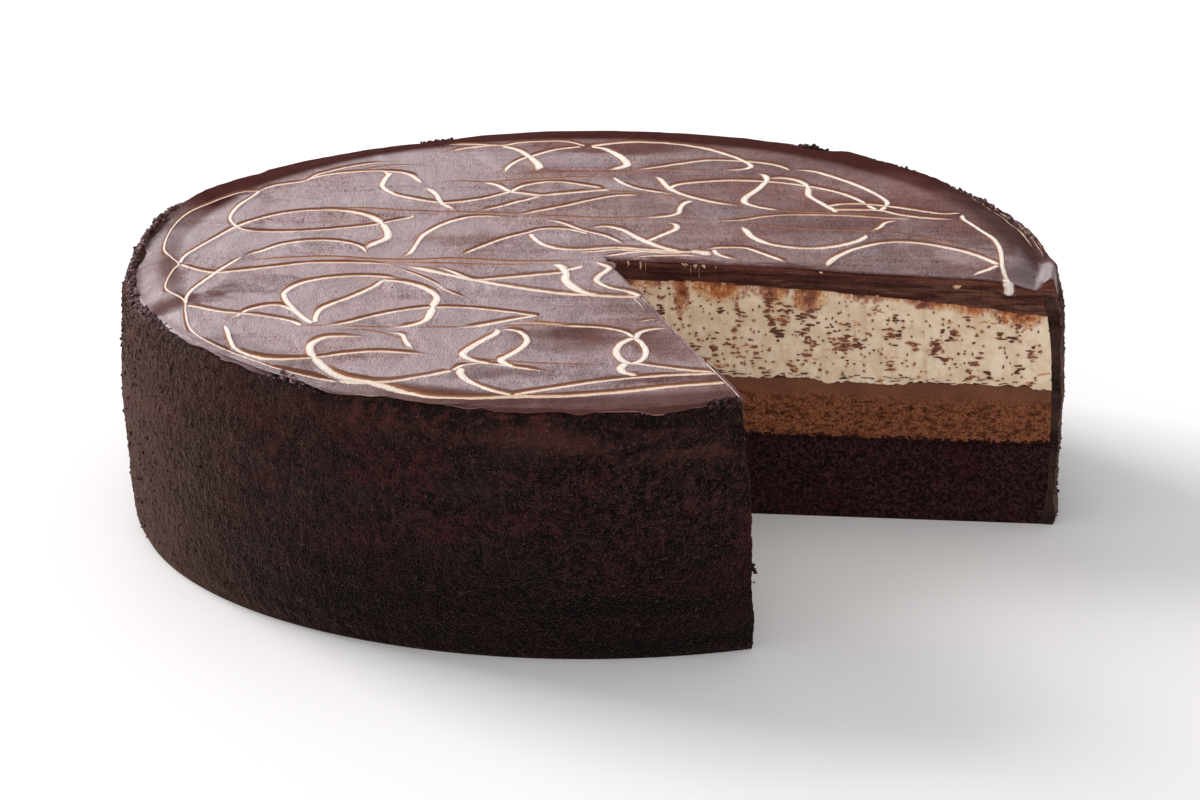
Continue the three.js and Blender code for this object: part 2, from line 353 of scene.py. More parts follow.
def box_skin(place, turns, out_cells, up_cells, faces, cut_relief, pointed, wall_mark=None):
    """A closed skin for place(turn, out, up), which bends the unit cube into a layer or a coat.

    turn runs round the cake, out from the tip or the inside to the outside, up from the floor.
    The two cut faces have out_cells by up_cells cells. faces gives the cells of the four long
    sides: low and top outwards, inner and outer upwards, each a divisor of the cut's number.
    cut_relief(points, out, up, end) gives the moved points of a cut face and their marks, and
    wall_mark(turn, up, points) the first mark of the outer side's points.
    """
    skin = Skin()
    turn = np.linspace(0, 1, turns + 1)[1:-1, None]
    out = np.linspace(0, 1, out_cells + 1)[:, None]
    up = np.linspace(0, 1, up_cells + 1)[None, :]
    cuts = []
    for end in (0, 1):
        points, marks = cut_relief(place(float(end), out, up), out, up, end)
        ids = skin.lay(points, marks)
        if end == 1 and pointed:
            ids[0] = cuts[0][0]
        skin.cover(ids, flip=end == 1)
        cuts.append(ids)

    def side(cells, fixed_out=None, fixed_up=None):
        """Ids of one long side, in rows round the cake, and the edges of the cuts it meets."""
        steps = np.linspace(0, 1, cells + 1)[None, :]
        if fixed_out is None:
            inside = place(turn, steps, float(fixed_up))
            edges = [cut[:, -1 if fixed_up else 0] for cut in cuts]
        else:
            inside = place(turn, float(fixed_out), steps)
            edges = [cut[-1 if fixed_out else 0, :] for cut in cuts]
        marks = np.zeros(inside.shape)
        if fixed_out == 1 and wall_mark:
            marks[..., 0] = wall_mark(turn, steps, inside)
        return skin.lay(inside, marks), edges

    outer, outer_edges = side(faces["outer"], fixed_out=1)
    top, top_edges = side(faces["top"], fixed_up=1)
    low, low_edges = side(faces["low"], fixed_up=0)
    top[:, -1] = outer[:, -1]
    low[:, -1] = outer[:, 0]
    if pointed:
        top[:, 0] = cuts[0][0, -1]
        low[:, 0] = cuts[0][0, 0]
    sides = [(outer, outer_edges, False), (top, top_edges, True), (low, low_edges, False)]
    if not pointed:
        inner, inner_edges = side(faces["inner"], fixed_out=0)
        inner[:, 0] = low[:, 0]
        inner[:, -1] = top[:, 0]
        sides.append((inner, inner_edges, True))
    for ids, edges, flip in sides:
        skin.cover(ids, flip)
        skin.fan(edges[0], ids[0], flip)
        skin.fan(edges[1], ids[-1], not flip)
    return skin


def crumbed(degrees):
    """0 where the ganache laps over the rim, up to 1 where crumbs lie on it instead."""
    share = 0
    for at, spread, amount in CRUMBED:
        share = np.maximum(share, amount * bell(degrees, at, spread, 4))
    return share


def hanging(degrees):
    """1 at the front left, where the ganache hangs a little lower over the coat."""
    return bell(degrees, 221, 17)


def run_over(degrees):
    """1 beside the shown cut, where the ganache ran down over the rim, and 0 elsewhere."""
    return bell(degrees, SHOWN_CUT, 7)


def wavering(angle):
    """Height by which the lower edge of the ganache rises and falls along the rim."""
    arc = angle * WIDEST_RADIUS
    return 0.75 * rough(arc / 19, arc * 0, 191, 2) + 0.25 * drift(arc / 5, arc * 0, 193)


def lip_line(angle):
    """How far up the ganache's side its lower edge over the coat runs, as a share."""
    arc = angle * WIDEST_RADIUS
    line = 0.91 + 0.03 * rough(arc / 5, arc * 0, 171, 3) + wavering(angle) / 6
    line = line - 0.10 * np.maximum(drift(arc / 17, arc * 0, 173), 0) ** 3
    return line - 0.40 * run_over(np.degrees(angle)) - 0.10 * hanging(np.degrees(angle))


def lip(angle, up):
    """Share of the ganache's edge that lies out over the coat, and how proud of the wall it is.

    The share is 0 below a wavering line near the top. Where crumbs lie on the rim the ganache
    stops short of them.
    """
    arc = angle * WIDEST_RADIUS
    line = lip_line(angle)
    proud = mix(LIP_PROUD, -LIP_SHORT, crumbed(np.degrees(angle)))
    proud = proud + 0.35 * rough(arc / 5, arc * 0, 179)
    proud = proud - LIP_ROUND * (1 - np.sqrt(1 - np.clip((up - 0.9) / 0.1, 0, 1) ** 2))
    return ease(line - 0.03, line + 0.02, up), proud


def gathered(turn, up):
    """Turn and up for points that lie closer together by the two cuts and near the top."""
    return mix(turn, np.sin(turn * math.pi / 2) ** 2, 0.8), 1 - (1 - up) ** 1.6


def lip_mark(turn, up, points):
    """1 at a painted highlight along the ganache's lower edge over the coat, 0 above and below."""
    turn, up = gathered(turn, up)
    angle = np.radians(mix(SHOWN_CUT, TURNED_CUT, turn))
    line = lip_line(angle)
    low = ease(line - 0.03, line, up) * ease(line + 0.05, line + 0.02, up)
    arc = angle * WIDEST_RADIUS
    return low * ease(-0.2, 0.5, drift(arc / 6, arc * 0, 197)) * (1 - crumbed(np.degrees(angle)))


def layer_place(bottom, top, lipped=False):
    """place(turn, out, up) for a layer between two levels, from the tip to inside the coat.

    How far a layer reaches depends on its level there, so the two are found in turn, four
    times. A lipped one is the ganache, whose top edge laps over the coat.
    """
    def place(turn, out, up):
        if lipped:
            turn, up = gathered(turn, up)
        angle = np.radians(mix(SHOWN_CUT, TURNED_CUT, turn))
        lean = turn ** 10
        turn, out, up = np.broadcast_arrays(turn, out, up)
        angle, lean = np.broadcast_to(angle, out.shape), np.broadcast_to(lean, out.shape)
        far = np.full(out.shape, WIDEST_RADIUS)
        for _ in range(4):
            edge = at_tip(angle, lean, far, np.full(out.shape, LEVEL_FOR_EDGE))
            level = mix(bottom(edge[..., 0], edge[..., 1]), top(edge[..., 0], edge[..., 1]), up)
            radius = wall_radius(level) - coat_thickness(level) - GAP
            if lipped:
                share, proud = lip(angle, up)
                radius = mix(radius, wall_radius(level) + proud, share)
            far = reach(angle, radius, level)
        distance = far * out
        spot = at_tip(angle, lean, distance, np.full(out.shape, LEVEL_FOR_EDGE))
        level = mix(bottom(spot[..., 0], spot[..., 1]), top(spot[..., 0], spot[..., 1]), up)
        return at_tip(angle, lean, distance, level)
    return place


def cut_frame(points, end):
    """Distance along the cut, and the direction that faces out of it, for points of a cut."""
    away = points[..., :2] - TIP
    distance = np.hypot(away[..., 0], away[..., 1])
    angle = cut_angle(end)
    facing = np.array([math.sin(angle), -math.cos(angle), 0.0])
    return distance, facing if end == 0 else -facing


# ---- material maths ------------------------------------------------------------------------
def tone(red, green, blue):
    """A colour as the eye reads it, 0 to 255, as the linear numbers that Blender keeps."""
    linear = [c / 12.92 if c <= 0.04045 else ((c + 0.055) / 1.055) ** 2.4
              for c in (red / 255, green / 255, blue / 255)]
    return (*linear, 1.0)


class Wire:
    """One output of a material's nodes, with sums and products that add Math nodes."""

    def __init__(self, finish, socket):
        self.finish, self.socket = finish, socket

    def math(self, operation, *values, clamp=False):
        """A Math node's output for these values."""
        settings = {"operation": operation, "use_clamp": clamp}
        return self.finish.node("ShaderNodeMath", settings, dict(enumerate(values)))

    def __add__(self, other):
        return self.math("ADD", self, other)

    def __mul__(self, other):
        return self.math("MULTIPLY", self, other)

    def __sub__(self, other):
        return self.math("SUBTRACT", self, other)

    def __rsub__(self, other):
        return self.math("SUBTRACT", other, self)

    def __truediv__(self, other):
        return self.math("DIVIDE", self, other)

    def __pow__(self, other):
        return self.math("POWER", self, other)

    __radd__ = __add__
    __rmul__ = __mul__

    def abs(self):
        return self.math("ABSOLUTE", self)

    def clamped(self):
        """The same between 0 and 1."""
        return self.math("ADD", self, 0.0, clamp=True)

    def eased(self, low, high):
        """0 at low and 1 at high, with a smooth S between; high may be the lower number."""
        return self.finish.node("ShaderNodeMapRange", {"interpolation_type": "SMOOTHSTEP"},
                                {"Value": self, "From Min": low, "From Max": high})


class Finish:
    """One material: makes its nodes and joins them up."""

    def __init__(self, name):
        self.material = bpy.data.materials.new(name)
        self.material.use_nodes = True
        self.tree = self.material.node_tree
        self.tree.nodes.clear()

    def node(self, kind, settings=None, values=None, output=0):
        """A node with its settings and its sockets' values or wires; returns one output."""
        made = self.tree.nodes.new(kind)
        for key, value in (settings or {}).items():
            setattr(made, key, value)
        for key, value in (values or {}).items():
            if isinstance(value, Wire):
                self.tree.links.new(value.socket, made.inputs[key])
            else:
                made.inputs[key].default_value = value
        return Wire(self, made.outputs[output])

    def place(self, scale=(1, 1, 1), turn=(0, 0, 0)):
        """Object coordinates in metres, scaled and turned for a pattern."""
        here = self.node("ShaderNodeTexCoord", output="Object")
        return self.node("ShaderNodeMapping", {"vector_type": "TEXTURE"},
                         {"Vector": here, "Scale": scale, "Rotation": turn})

    def split(self, vector):
        """The three numbers of a vector."""
        return [self.node("ShaderNodeSeparateXYZ", None, {"Vector": vector}, output=axis)
                for axis in "XYZ"]

    def joined(self, x, y, z=0.0):
        """A vector of three numbers."""
        return self.node("ShaderNodeCombineXYZ", None, {"X": x, "Y": y, "Z": z})

    def mark(self, name="mark"):
        """The three numbers that a point of the mesh carries."""
        return self.split(self.node("ShaderNodeAttribute", {"attribute_name": name},
                                    output="Vector"))

    def noise(self, place, scale, detail=3.0, roughness=0.55, distortion=0.0):
        """Clouds between 0 and 1, scale of them to a metre."""
        return self.node("ShaderNodeTexNoise", {"noise_dimensions": "3D"},
                         {"Vector": place, "Scale": scale, "Detail": detail,
                          "Roughness": roughness, "Distortion": distortion}, output="Fac")

    def cells(self, place, scale, output="Distance"):
        """Distance to the nearest of scattered points, or the colour that is drawn for it."""
        return self.node("ShaderNodeTexVoronoi", {"feature": "F1"},
                         {"Vector": place, "Scale": scale}, output=output)

    def blend(self, a, b, share):
        """Colour a turning into colour b as share goes from 0 to 1."""
        return self.node("ShaderNodeMix", {"data_type": "RGBA", "blend_type": "MIX"},
                         {0: share, 6: a, 7: b}, output=2)

    def bump(self, height, distance, strength, under=None):
        """A normal that follows a height between 0 and 1 times a distance, on another one."""
        values = {"Height": height, "Distance": distance, "Strength": strength}
        if under is not None:
            values["Normal"] = under
        return self.node("ShaderNodeBump", None, values)

    def principled(self, **values):
        """A Principled surface; the names of its sockets have _ for spaces."""
        sockets = {key.replace("_", " "): value for key, value in values.items()}
        return self.node("ShaderNodeBsdfPrincipled", None, sockets)

    def surface(self, **values):
        """Ends the material with a plain Principled surface."""
        return self.ends(self.principled(**values))

    def ends(self, shown):
        """Ends the material with this surface, and returns the material."""
        end = self.tree.nodes.new("ShaderNodeOutputMaterial")
        self.tree.links.new(shown.socket, end.inputs["Surface"])
        return self.material


# ---- finishes ------------------------------------------------------------------------------
def lie(finish, here):
    """How much the ganache shines, how dark and how level it is, 0 to 1, over the cake.

    The shine is set by place to follow where the lamps are reflected in this view, a painted
    sheen: the flat shines most at the left and front and least at the back right. The rounded
    edge shines where it faces left, a little at the front and right, and not at the back, where
    it is darkest, painted shade; the flat too is darker to the right, painted shade. The dip by
    the rim at the right and the rise beside it shine by themselves, painted highlights. SHADED
    patches, ovals whose outline slow noise has bent, take away shine and darken, painted shade,
    or the other way round, painted light, and fade from their middle outwards.
    """
    x, y, _ = finish.split(here)
    radius = (x * x + y * y) ** 0.5 + 0.0001
    to_left, to_front = x / radius * -1, y / radius * -1
    edge = radius - 0.110 - to_front * 0.003 + to_left.eased(0.8, 1.0) * 0.002
    flat = edge.eased(0.003, -0.002)
    left, front = x.eased(0.12, -0.115), y.eased(0.11, -0.08)
    middle = 0.08 + 0.90 * left ** 1.10 + 0.17 * front
    due_left = to_left.eased(0.80, 0.95) * (0.30 + 0.22 * radius.eased(0.1125, 0.1160))
    due_left = due_left * to_front.eased(-0.42, -0.20)
    front_left = to_front.eased(0.27, 0.37) * to_front.eased(0.95, 0.80) * to_left.eased(0.1, 0.4)
    rounded = (due_left + 0.60 * front_left + 0.10 * to_front.eased(0.45, 0.9)
               + 0.10 * to_left.eased(-0.8, -0.97) + 0.01)
    # dark is painted shade: the rounded edge darker at the back and less at the left, the flat darker
    # to the right
    dark = 0.55 + 0.45 * to_front.eased(0.3, -0.4) - 0.3 * to_left.eased(0.8, 0.97)
    broad = ((x - 0.085).abs() + (y - 0.005).abs() * 1.3).eased(0.055, 0.01) * 0.36
    valley = ((x - 0.1130).abs() * 1.5 + (y + 0.012).abs() * 0.5).eased(0.014, 0.001) * 0.95
    ridge = (x - 0.1196).abs().eased(0.0024, 0.0008) * (y + 0.012).abs().eased(0.018, 0.007) * 1.2
    bent_x = x + (finish.noise(here, 48, 3, 0.6) - 0.5) * 0.034
    bent_y = y + (finish.noise(finish.place((1, 1, 1), (0, 0, 1)), 42, 3, 0.6) - 0.5) * 0.026
    painted_shade = 0
    # SHADED patches: painted shade, and painted light where the strength is below 0
    for at_x, at_y, wide, deep, amount in SHADED:
        out = (((bent_x - at_x * MM) * (1 / (wide * MM))) ** 2
               + ((bent_y - at_y * MM) * (1 / (deep * MM))) ** 2)
        painted_shade = painted_shade + out.eased(1.0, 0.0) * amount
    painted_shade = painted_shade.math("MINIMUM", painted_shade, 1.4)
    shine = (rounded + (middle + broad - rounded) * flat + valley + ridge) * (1 - 0.62 * painted_shade)
    dark = dark * (1 - flat) + x.eased(0.0, 0.12) * flat * 0.35 + painted_shade * 0.26
    return shine, dark.clamped(), flat


def ganache_parts(finish):
    """Colour, roughness, shine and normal of the ganache, shared with the swirl on it."""
    here = finish.place()
    slow = finish.noise(finish.place((1.8, 1.0, 1.0)), 44, 3, 0.5)
    grain = finish.noise(finish.place((1.0, 2.4, 1.0)), 2300, 3, 0.75)
    coarse = finish.noise(finish.place((1.0, 2.0, 1.0)), 620, 4, 0.7)
    streak = finish.noise(finish.place((9.0, 1.0, 1.0)), 300, 4, 0.65, 0.6)
    satin, dark, flat = lie(finish, here)
    colour = finish.blend(tone(100, 63, 59), tone(118, 76, 70), slow.eased(0.32, 0.68))
    # Painted shade from lie: the back of the rounded edge, the right of the flat and the SHADED
    # patches
    colour = finish.blend(colour, tone(66, 36, 33), dark)
    speckle = (grain * 0.7 + coarse * 0.3).eased(0.40, 0.60)
    speckle = 0.5 + (speckle - 0.5) * (0.25 + 0.75 * flat)
    colour = finish.blend(colour, tone(70, 40, 38), speckle * 0.36)
    folds = finish.noise(finish.place((2.4, 1.0, 1.0), (0, 0, 0.15)), 52, 2, 0.4, 0.6)
    satin = satin * (1.05 + 0.30 * slow.eased(0.7, 0.3) + 0.70 * (folds.eased(0.34, 0.66) - 0.5)
                     + 0.50 * (streak.eased(0.3, 0.7) - 0.5) + 0.85 * (0.5 - speckle) * flat)
    roughness = 0.30 + 0.2 * slow
    pits = (finish.cells(finish.place((1.0, 1.6, 1.0)), 360).eased(0.17, 0.04)
            * finish.noise(here, 75, 2).eased(0.54, 0.64))
    # The pits are darkened too, painted shade in them
    colour = finish.blend(colour, tone(36, 17, 15), pits * 0.8)
    swell = finish.noise(finish.place((1.0, 2.2, 1.0), (0, 0, 0.2)), 80, 2, 0.4, 0.5)
    gentle = finish.bump(swell, 0.0020, 1.0)
    normal = finish.bump(grain * 0.6 + coarse * 0.5 + streak * 0.8 - pits, 0.0005, 1.0, under=gentle)
    return colour, roughness, (satin * (1 - 0.7 * pits)).clamped(), normal


def satin_surface(finish, colour, roughness, satin, normal):
    """A dull surface that turns into a shining one, faintly lavender, where satin is 1."""
    dull = finish.principled(Base_Color=colour, Roughness=0.6, Specular_IOR_Level=0.0,
                             Normal=normal)
    shining = finish.principled(Base_Color=colour, Roughness=roughness, Specular_IOR_Level=1.0,
                                Specular_Tint=(0.96, 0.90, 1.0, 1.0), Normal=normal)
    return finish.ends(finish.node("ShaderNodeMixShader", None, {0: satin, 1: dull, 2: shining}))


def ganache_finish():
    """Satin ganache on top; at the cut, darker and duller with smears along the knife's way.

    Smears are noise drawn out along the cut and tears noise drawn out upright. They are greyer
    in the middle of the cut and redder at its outer end.
    """
    finish = Finish("ganache")
    colour, roughness, satin, normal = ganache_parts(finish)
    along, height, cut = finish.mark()
    # A painted highlight, pale pink, along the lip's lower edge, where the first mark is 1 on the
    # outer side
    painted_lip_highlight = along * (1 - cut.eased(0.0, 0.2))
    colour = finish.blend(colour, tone(196, 150, 150), painted_lip_highlight * 0.75)
    smear = finish.noise(finish.joined(along * 0.10, height), 700, 4, 0.62, 0.5)
    tear = finish.noise(finish.joined(along, height * 0.10, 3.0), 800, 3, 0.6)
    fine = finish.noise(finish.joined(along, height, 7.0), 1500, 3, 0.7)
    inside = finish.blend(tone(58, 29, 22), tone(92, 54, 43), smear.eased(0.36, 0.62))
    greyed = smear.eased(0.56, 0.7) * along.eased(0.03, 0.05) * along.eased(0.095, 0.07)
    inside = finish.blend(inside, tone(138, 106, 84), greyed * 0.7)
    inside = finish.blend(inside, tone(122, 82, 66),
                          smear.eased(0.42, 0.60) * along.eased(0.078, 0.095) * 0.7)
    inside = finish.blend(inside, tone(34, 15, 11), tear.eased(0.5, 0.66) * 0.25)
    # Lighter and redder towards the top of the cut: a painted highlight on its rounded top edge
    inside = finish.blend(inside, tone(122, 64, 48), (cut - 1.0).eased(0.55, 0.9) * 0.6)
    inside = finish.blend(inside, tone(28, 12, 9), fine.eased(0.52, 0.66) * 0.5)
    cut = cut.eased(0.35, 0.65)
    return satin_surface(
        finish, finish.blend(colour, inside, cut), roughness + cut * 0.1,
        satin * (1 - cut) + cut * 0.12,
        finish.bump((smear * 0.8 + tear * 0.3 + fine * 0.5) * cut, 0.0004, 0.7, under=normal))


def swirl_finish():
    """Cream lines drawn into the ganache: white core, a brown far side, ganache edges. The brown
    is browned cream with painted shade, and takes the shine away.

    Where a line runs away from the viewer it is whiter, and its brown is a thin edge. out is
    the distance from the middle of the line, 1 at the edge of its white, made ragged by noise.
    """
    finish = Finish("swirl")
    ganache, roughness, satin, normal = ganache_parts(finish)
    across, milk, caramel_and_shade = finish.mark()
    far, share, away = finish.mark("side")
    fray = finish.noise(finish.place((3.0, 1.0, 1.0)), 1100, 3, 0.6) - 0.5
    ragged = across + fray * 0.28
    out = ragged.abs() / share
    core = out.eased(1.25, 0.7) * milk
    # fringe and glow: browned cream with painted shade, mostly on the far side; below they take the
    # shine away
    fringe = (ragged * far).eased(0.0, 0.08) * ragged.abs().eased(1.0, 0.62) * caramel_and_shade
    beyond = (ragged * far).eased(-0.04, 0.08)
    glow = out.eased(1.7, 0.9) * caramel_and_shade * (0.15 + 0.35 * beyond)
    brown = fringe.math("MAXIMUM", fringe, glow).clamped()
    # baked: browned cream colour with painted shade, darker away from the white
    baked = finish.blend(tone(150, 102, 74), tone(104, 68, 54), out.eased(1.2, 3.2))
    colour = finish.blend(ganache, baked, brown * 0.95)
    # The white's edge: tan on the far side, with painted shade, pinkish on the near side
    rim = finish.blend(tone(204, 176, 162), tone(186, 138, 104), beyond)
    colour = finish.blend(colour, rim, core.eased(0.03, 0.4))
    white = finish.blend(tone(214, 188, 164), tone(230, 219, 208), away)
    white = finish.blend(white, tone(243, 236, 229), out.eased(0.55, 0.0) * away)
    colour = finish.blend(colour, white, core.eased(0.3, 0.9))
    return satin_surface(finish, colour, roughness,
                         satin * (1 - brown) * (1 - core.clamped() * 0.85), normal)


def cream_finish():
    """Set cream: warm beige with faint upright knife marks, stained where chocolate bled."""
    finish = Finish("cream")
    along, height, stain = finish.mark()
    here = finish.place()
    knife = finish.noise(finish.joined(along, height * 0.1), 420, 3, 0.6)
    mottle = finish.noise(here, 240, 4, 0.6)
    fine = finish.noise(finish.joined(along, height * 0.6, 5.0), 1300, 4, 0.65)
    smudge = finish.noise(finish.joined(along * 0.55, height, 9.0), 420, 5, 0.62, 0.8)
    field = finish.noise(finish.joined(along, height, 2.0), 120, 2)
    colour = finish.blend(tone(226, 201, 171), tone(243, 222, 196), mottle.eased(0.35, 0.65))
    colour = finish.blend(colour, tone(206, 168, 136), knife.eased(0.52, 0.72) * 0.45)
    soak = stain + (fine - 0.5) * 1.3 * stain.eased(0.02, 0.3) + (knife - 0.5) * 0.5 * stain
    soak = soak + smudge.eased(0.57, 0.70) * field.eased(0.36, 0.56) * 0.6
    red = finish.noise(finish.joined(along, height * 0.4, 21.0), 90, 2).eased(0.46, 0.58)
    first = finish.blend(tone(210, 160, 114), tone(188, 136, 108), red)
    second = finish.blend(tone(178, 102, 58), tone(140, 84, 62), red)
    colour = finish.blend(colour, first, soak.eased(0.04, 0.34))
    colour = finish.blend(colour, second, soak.eased(0.3, 0.65))
    colour = finish.blend(colour, tone(108, 54, 38), soak.eased(0.72, 1.05))
    return finish.surface(
        Base_Color=colour, Roughness=0.55, Specular_IOR_Level=0.3,
        Subsurface_Weight=0.10, Subsurface_Radius=(0.004, 0.002, 0.001), Subsurface_Scale=0.3,
        Normal=finish.bump(knife * 0.5 + fine * 0.5 + mottle * 0.5, 0.0004, 0.8))


def fleck_finish():
    """Chocolate flecks in the cream, dark in the middle and redder at the thin edge."""
    finish = Finish("chocolate_fleck")
    edge, kind, _ = finish.mark()
    speck = finish.noise(finish.place(), 1400, 3)
    colour = finish.blend(tone(92, 50, 38), tone(150, 94, 74), kind)
    colour = finish.blend(colour, tone(186, 138, 110),
                          edge.eased(0.4, 1.0) * 0.8 * kind.eased(0.0, 0.1))
    colour = finish.blend(colour, tone(58, 29, 21), speck.eased(0.50, 0.66) * 0.55)
    return finish.surface(
        Base_Color=colour, Roughness=0.65, Specular_IOR_Level=0.2,
        Normal=finish.bump(speck, 0.0002, 0.5))


def mousse_finish():
    """Chocolate mousse: smooth under the cream, then open and gritty with pits darkened by painted
    shade.
    """
    finish = Finish("mousse")
    painted_shade, _, depth = finish.mark()
    here = finish.place()
    some = finish.noise(finish.place((1.5, 1.0, 1.0)), 800, 4, 0.7)
    fine = finish.noise(finish.place((1.4, 1.0, 1.0)), 2100, 2, 0.6)
    slow = finish.noise(here, 90, 3)
    torn = finish.noise(finish.place((4.0, 1.0, 1.0)), 900, 3, 0.6)
    porous = (depth + (slow - 0.5) * 0.2).eased(0.12, 0.42)
    lit = (some * 0.3 + fine * 0.7).eased(0.38, 0.62)
    pits = (some * 0.25 + fine * 0.6 + torn * 0.15).eased(0.47, 0.36)
    colour = finish.blend(tone(106, 65, 48), tone(122, 76, 56), slow.eased(0.35, 0.65))
    colour = finish.blend(colour, tone(88, 50, 36), fine.eased(0.5, 0.66) * 0.45)
    gritty = finish.blend(tone(102, 54, 33), tone(150, 92, 64), lit)
    # The pits are darkened, painted shade in them
    dark = (pits * 0.6 + painted_shade * 0.5).clamped()
    gritty = finish.blend(gritty, tone(50, 22, 11), dark)
    colour = finish.blend(colour, gritty, porous)
    return finish.surface(
        Base_Color=colour, Roughness=0.8, Specular_IOR_Level=0.15,
        Normal=finish.bump((some * 0.9 + fine * 0.5) * (0.25 + 0.75 * porous), 0.0009, 1.0))


def crumb_tones(finish, place, dark, light, warm, scale, warm_share, clumped=1.1):
    """Colour and height of baked crumb: grains of two sizes, each with its own shade.

    Coarse noise darkens the hollows between clumps, painted shade; fields of slow noise are warmer.
    """
    clumps = finish.noise(place, scale * 0.28, 4, 0.7)
    big = finish.cells(place, scale * 0.55, output="Color")
    small = finish.cells(place, scale * 1.3, output="Color")
    shade = finish.split(big)[0] * 0.45 + finish.split(small)[1] * 0.55
    dome = finish.cells(place, scale * 1.3) * -1
    lit = (shade + (clumps - 0.5) * clumped).eased(0.25, 1.05)
    slow = finish.noise(finish.place((2.0, 2.0, 1.0)), 95, 4, 0.6)
    colour = finish.blend(dark, light, lit)
    colour = finish.blend(colour, warm, slow.eased(0.47, 0.62) * (0.25 + 0.75 * lit) * warm_share)
    return colour, clumps * 1.2 + shade * 0.5 + dome * 0.35


def sponge_finish():
    """Dark cocoa sponge, an open crumb, plum where the light gets in."""
    finish = Finish("sponge")
    colour, height = crumb_tones(finish, finish.place(), tone(22, 9, 10), tone(88, 52, 54),
                                 tone(76, 30, 34), 2700, 0.5)
    return finish.surface(
        Base_Color=colour, Roughness=0.95, Specular_IOR_Level=0.1,
        Normal=finish.bump(height, 0.0009, 1.0))


def coat_finish():
    """Cake crumbs pressed on the wall: nearly black, with maroon fields in its upper half."""
    finish = Finish("crumb_coat")
    here = finish.place()
    colour, height = crumb_tones(finish, finish.place((1.0, 1.0, 1.3)), tone(7, 4, 4),
                                 tone(57, 34, 32), tone(70, 28, 31), 1700, 0.75, 2.4)
    x, _, level = finish.split(here)
    ashen = finish.noise(finish.place((2.6, 2.6, 1.0), (0.3, 0, 0)), 80, 3, 0.6)
    colour = finish.blend(colour, tone(38, 31, 31), ashen.eased(0.50, 0.66) * 0.45)
    layer = finish.noise(finish.place((7.0, 7.0, 1.0)), 110, 3, 0.6)
    patch = finish.noise(finish.place((3.0, 3.0, 1.0)), 120, 3, 0.6)
    below, _, cut = finish.mark()
    under_rim = level.eased(0.050, 0.060) * (0.35 + 0.65 * x.eased(-0.06, 0.03))
    colour = finish.blend(colour, tone(96, 58, 55), under_rim * patch.eased(0.38, 0.60) * 0.55)
    # Random dark bands, and painted shade: darker towards the foot below 50 mm and towards the left
    bands_and_painted_shade = (layer.eased(0.48, 0.64) * 0.35 + level.eased(0.050, 0.003) * 0.7
            + x.eased(-0.015, -0.075) * 0.16)
    colour = finish.blend(colour, tone(10, 7, 7), bands_and_painted_shade.clamped())
    front = x.eased(-0.085, -0.045)
    lumps = finish.noise(finish.place((1.0, 1.0, 0.7)), 260, 3, 0.6)
    near_edge = below.eased(0.0085, 0.0035) * front * (1 - cut)
    colour = finish.blend(colour, tone(84, 36, 37),
                          near_edge * lumps.eased(0.52, 0.64) * patch.eased(0.40, 0.56) * 0.8)
    # Painted shadow: a near-black band just under the ganache's lip at the front
    shaded = below.eased(0.0060, 0.0012) * lumps.eased(0.58, 0.44) * front * (1 - cut)
    colour = finish.blend(colour, tone(14, 8, 8), shaded * 0.85)
    colour = finish.blend(colour, tone(92, 70, 62), cut * patch.eased(0.3, 0.6) * 0.4)
    return finish.surface(
        Base_Color=colour, Roughness=0.9, Specular_IOR_Level=0.1,
        Sheen_Weight=0.55, Sheen_Roughness=0.15, Sheen_Tint=tone(238, 178, 160),
        Normal=finish.bump(height, 0.0008, 1.0))


def crumb_finish():
    """Loose crumbs on the rim, each a little lighter or darker, moist with ganache."""
    finish = Finish("crumbs")
    shade, red, _ = finish.mark()
    grain = finish.noise(finish.place(), 1600, 3)
    # The palest, pinkish crumbs are partly their own tone, partly painted highlights
    colour = finish.blend(tone(30, 15, 17), tone(168, 130, 132), shade.clamped())
    colour = finish.blend(colour, tone(84, 40, 37), red * 0.5)
    colour = finish.blend(colour, tone(18, 11, 10), grain.eased(0.5, 0.7) * 0.6)
    return finish.surface(
        Base_Color=colour, Roughness=0.7, Specular_IOR_Level=0.2,
        Normal=finish.bump(grain, 0.0003, 0.6))


# ---- the layers ----------------------------------------------------------------------------
def cut_of_sponge(points, out, up, end):
    """Crumb on the cut: pebbles of two sizes and torn hollows, up to 0.5 deep."""
    distance, facing = cut_frame(points, end)
    u, v = distance, points[..., 2]
    relief = (0.30 * pebbles(u / 1.5, v / 1.3, 11) + 0.25 * pebbles(u / 0.8, v / 0.8, 17)
              + 0.25 * rough(u / 6, v / 4, 23) - 0.35)
    relief = relief * ease(0, 1.5, distance) * ease(0, 0.02, up) * ease(0, 0.02, 1 - up)
    points = points + facing * relief[..., None]
    points[..., 2] += 0.35 * rough(u / 1.6, v * 0, 29) * ease(0.9, 1, up)
    return points, None


def cut_of_mousse(points, out, up, end):
    """Mousse on the cut: smooth in its top fifth, then pits and a soft tear."""
    distance, facing = cut_frame(points, end)
    u, v = distance, points[..., 2]
    porous = ease(0.12, 0.42, 1 - up)
    pits = ease(0.2, 0.6, rough(u / 1.3, v / 0.7, 31, 1)) * porous
    relief = (0.10 * rough(u / 7, v / 5, 37) + 0.12 * porous * rough(u / 0.9, v / 0.8, 33, 1)
              - 0.5 * pits)
    relief = relief * ease(0, 1.5, distance)
    points = points + facing * relief[..., None]
    points[..., 2] += 0.3 * GAP * ease(0.9, 1, up)
    points[..., 2] -= (0.55 * GAP + 0.3 * rough(u / 1.8, v * 0, 41)) * ease(0.1, 0, up)
    return points, np.stack([pits, v * MM, np.broadcast_to(1 - up, u.shape)], -1)


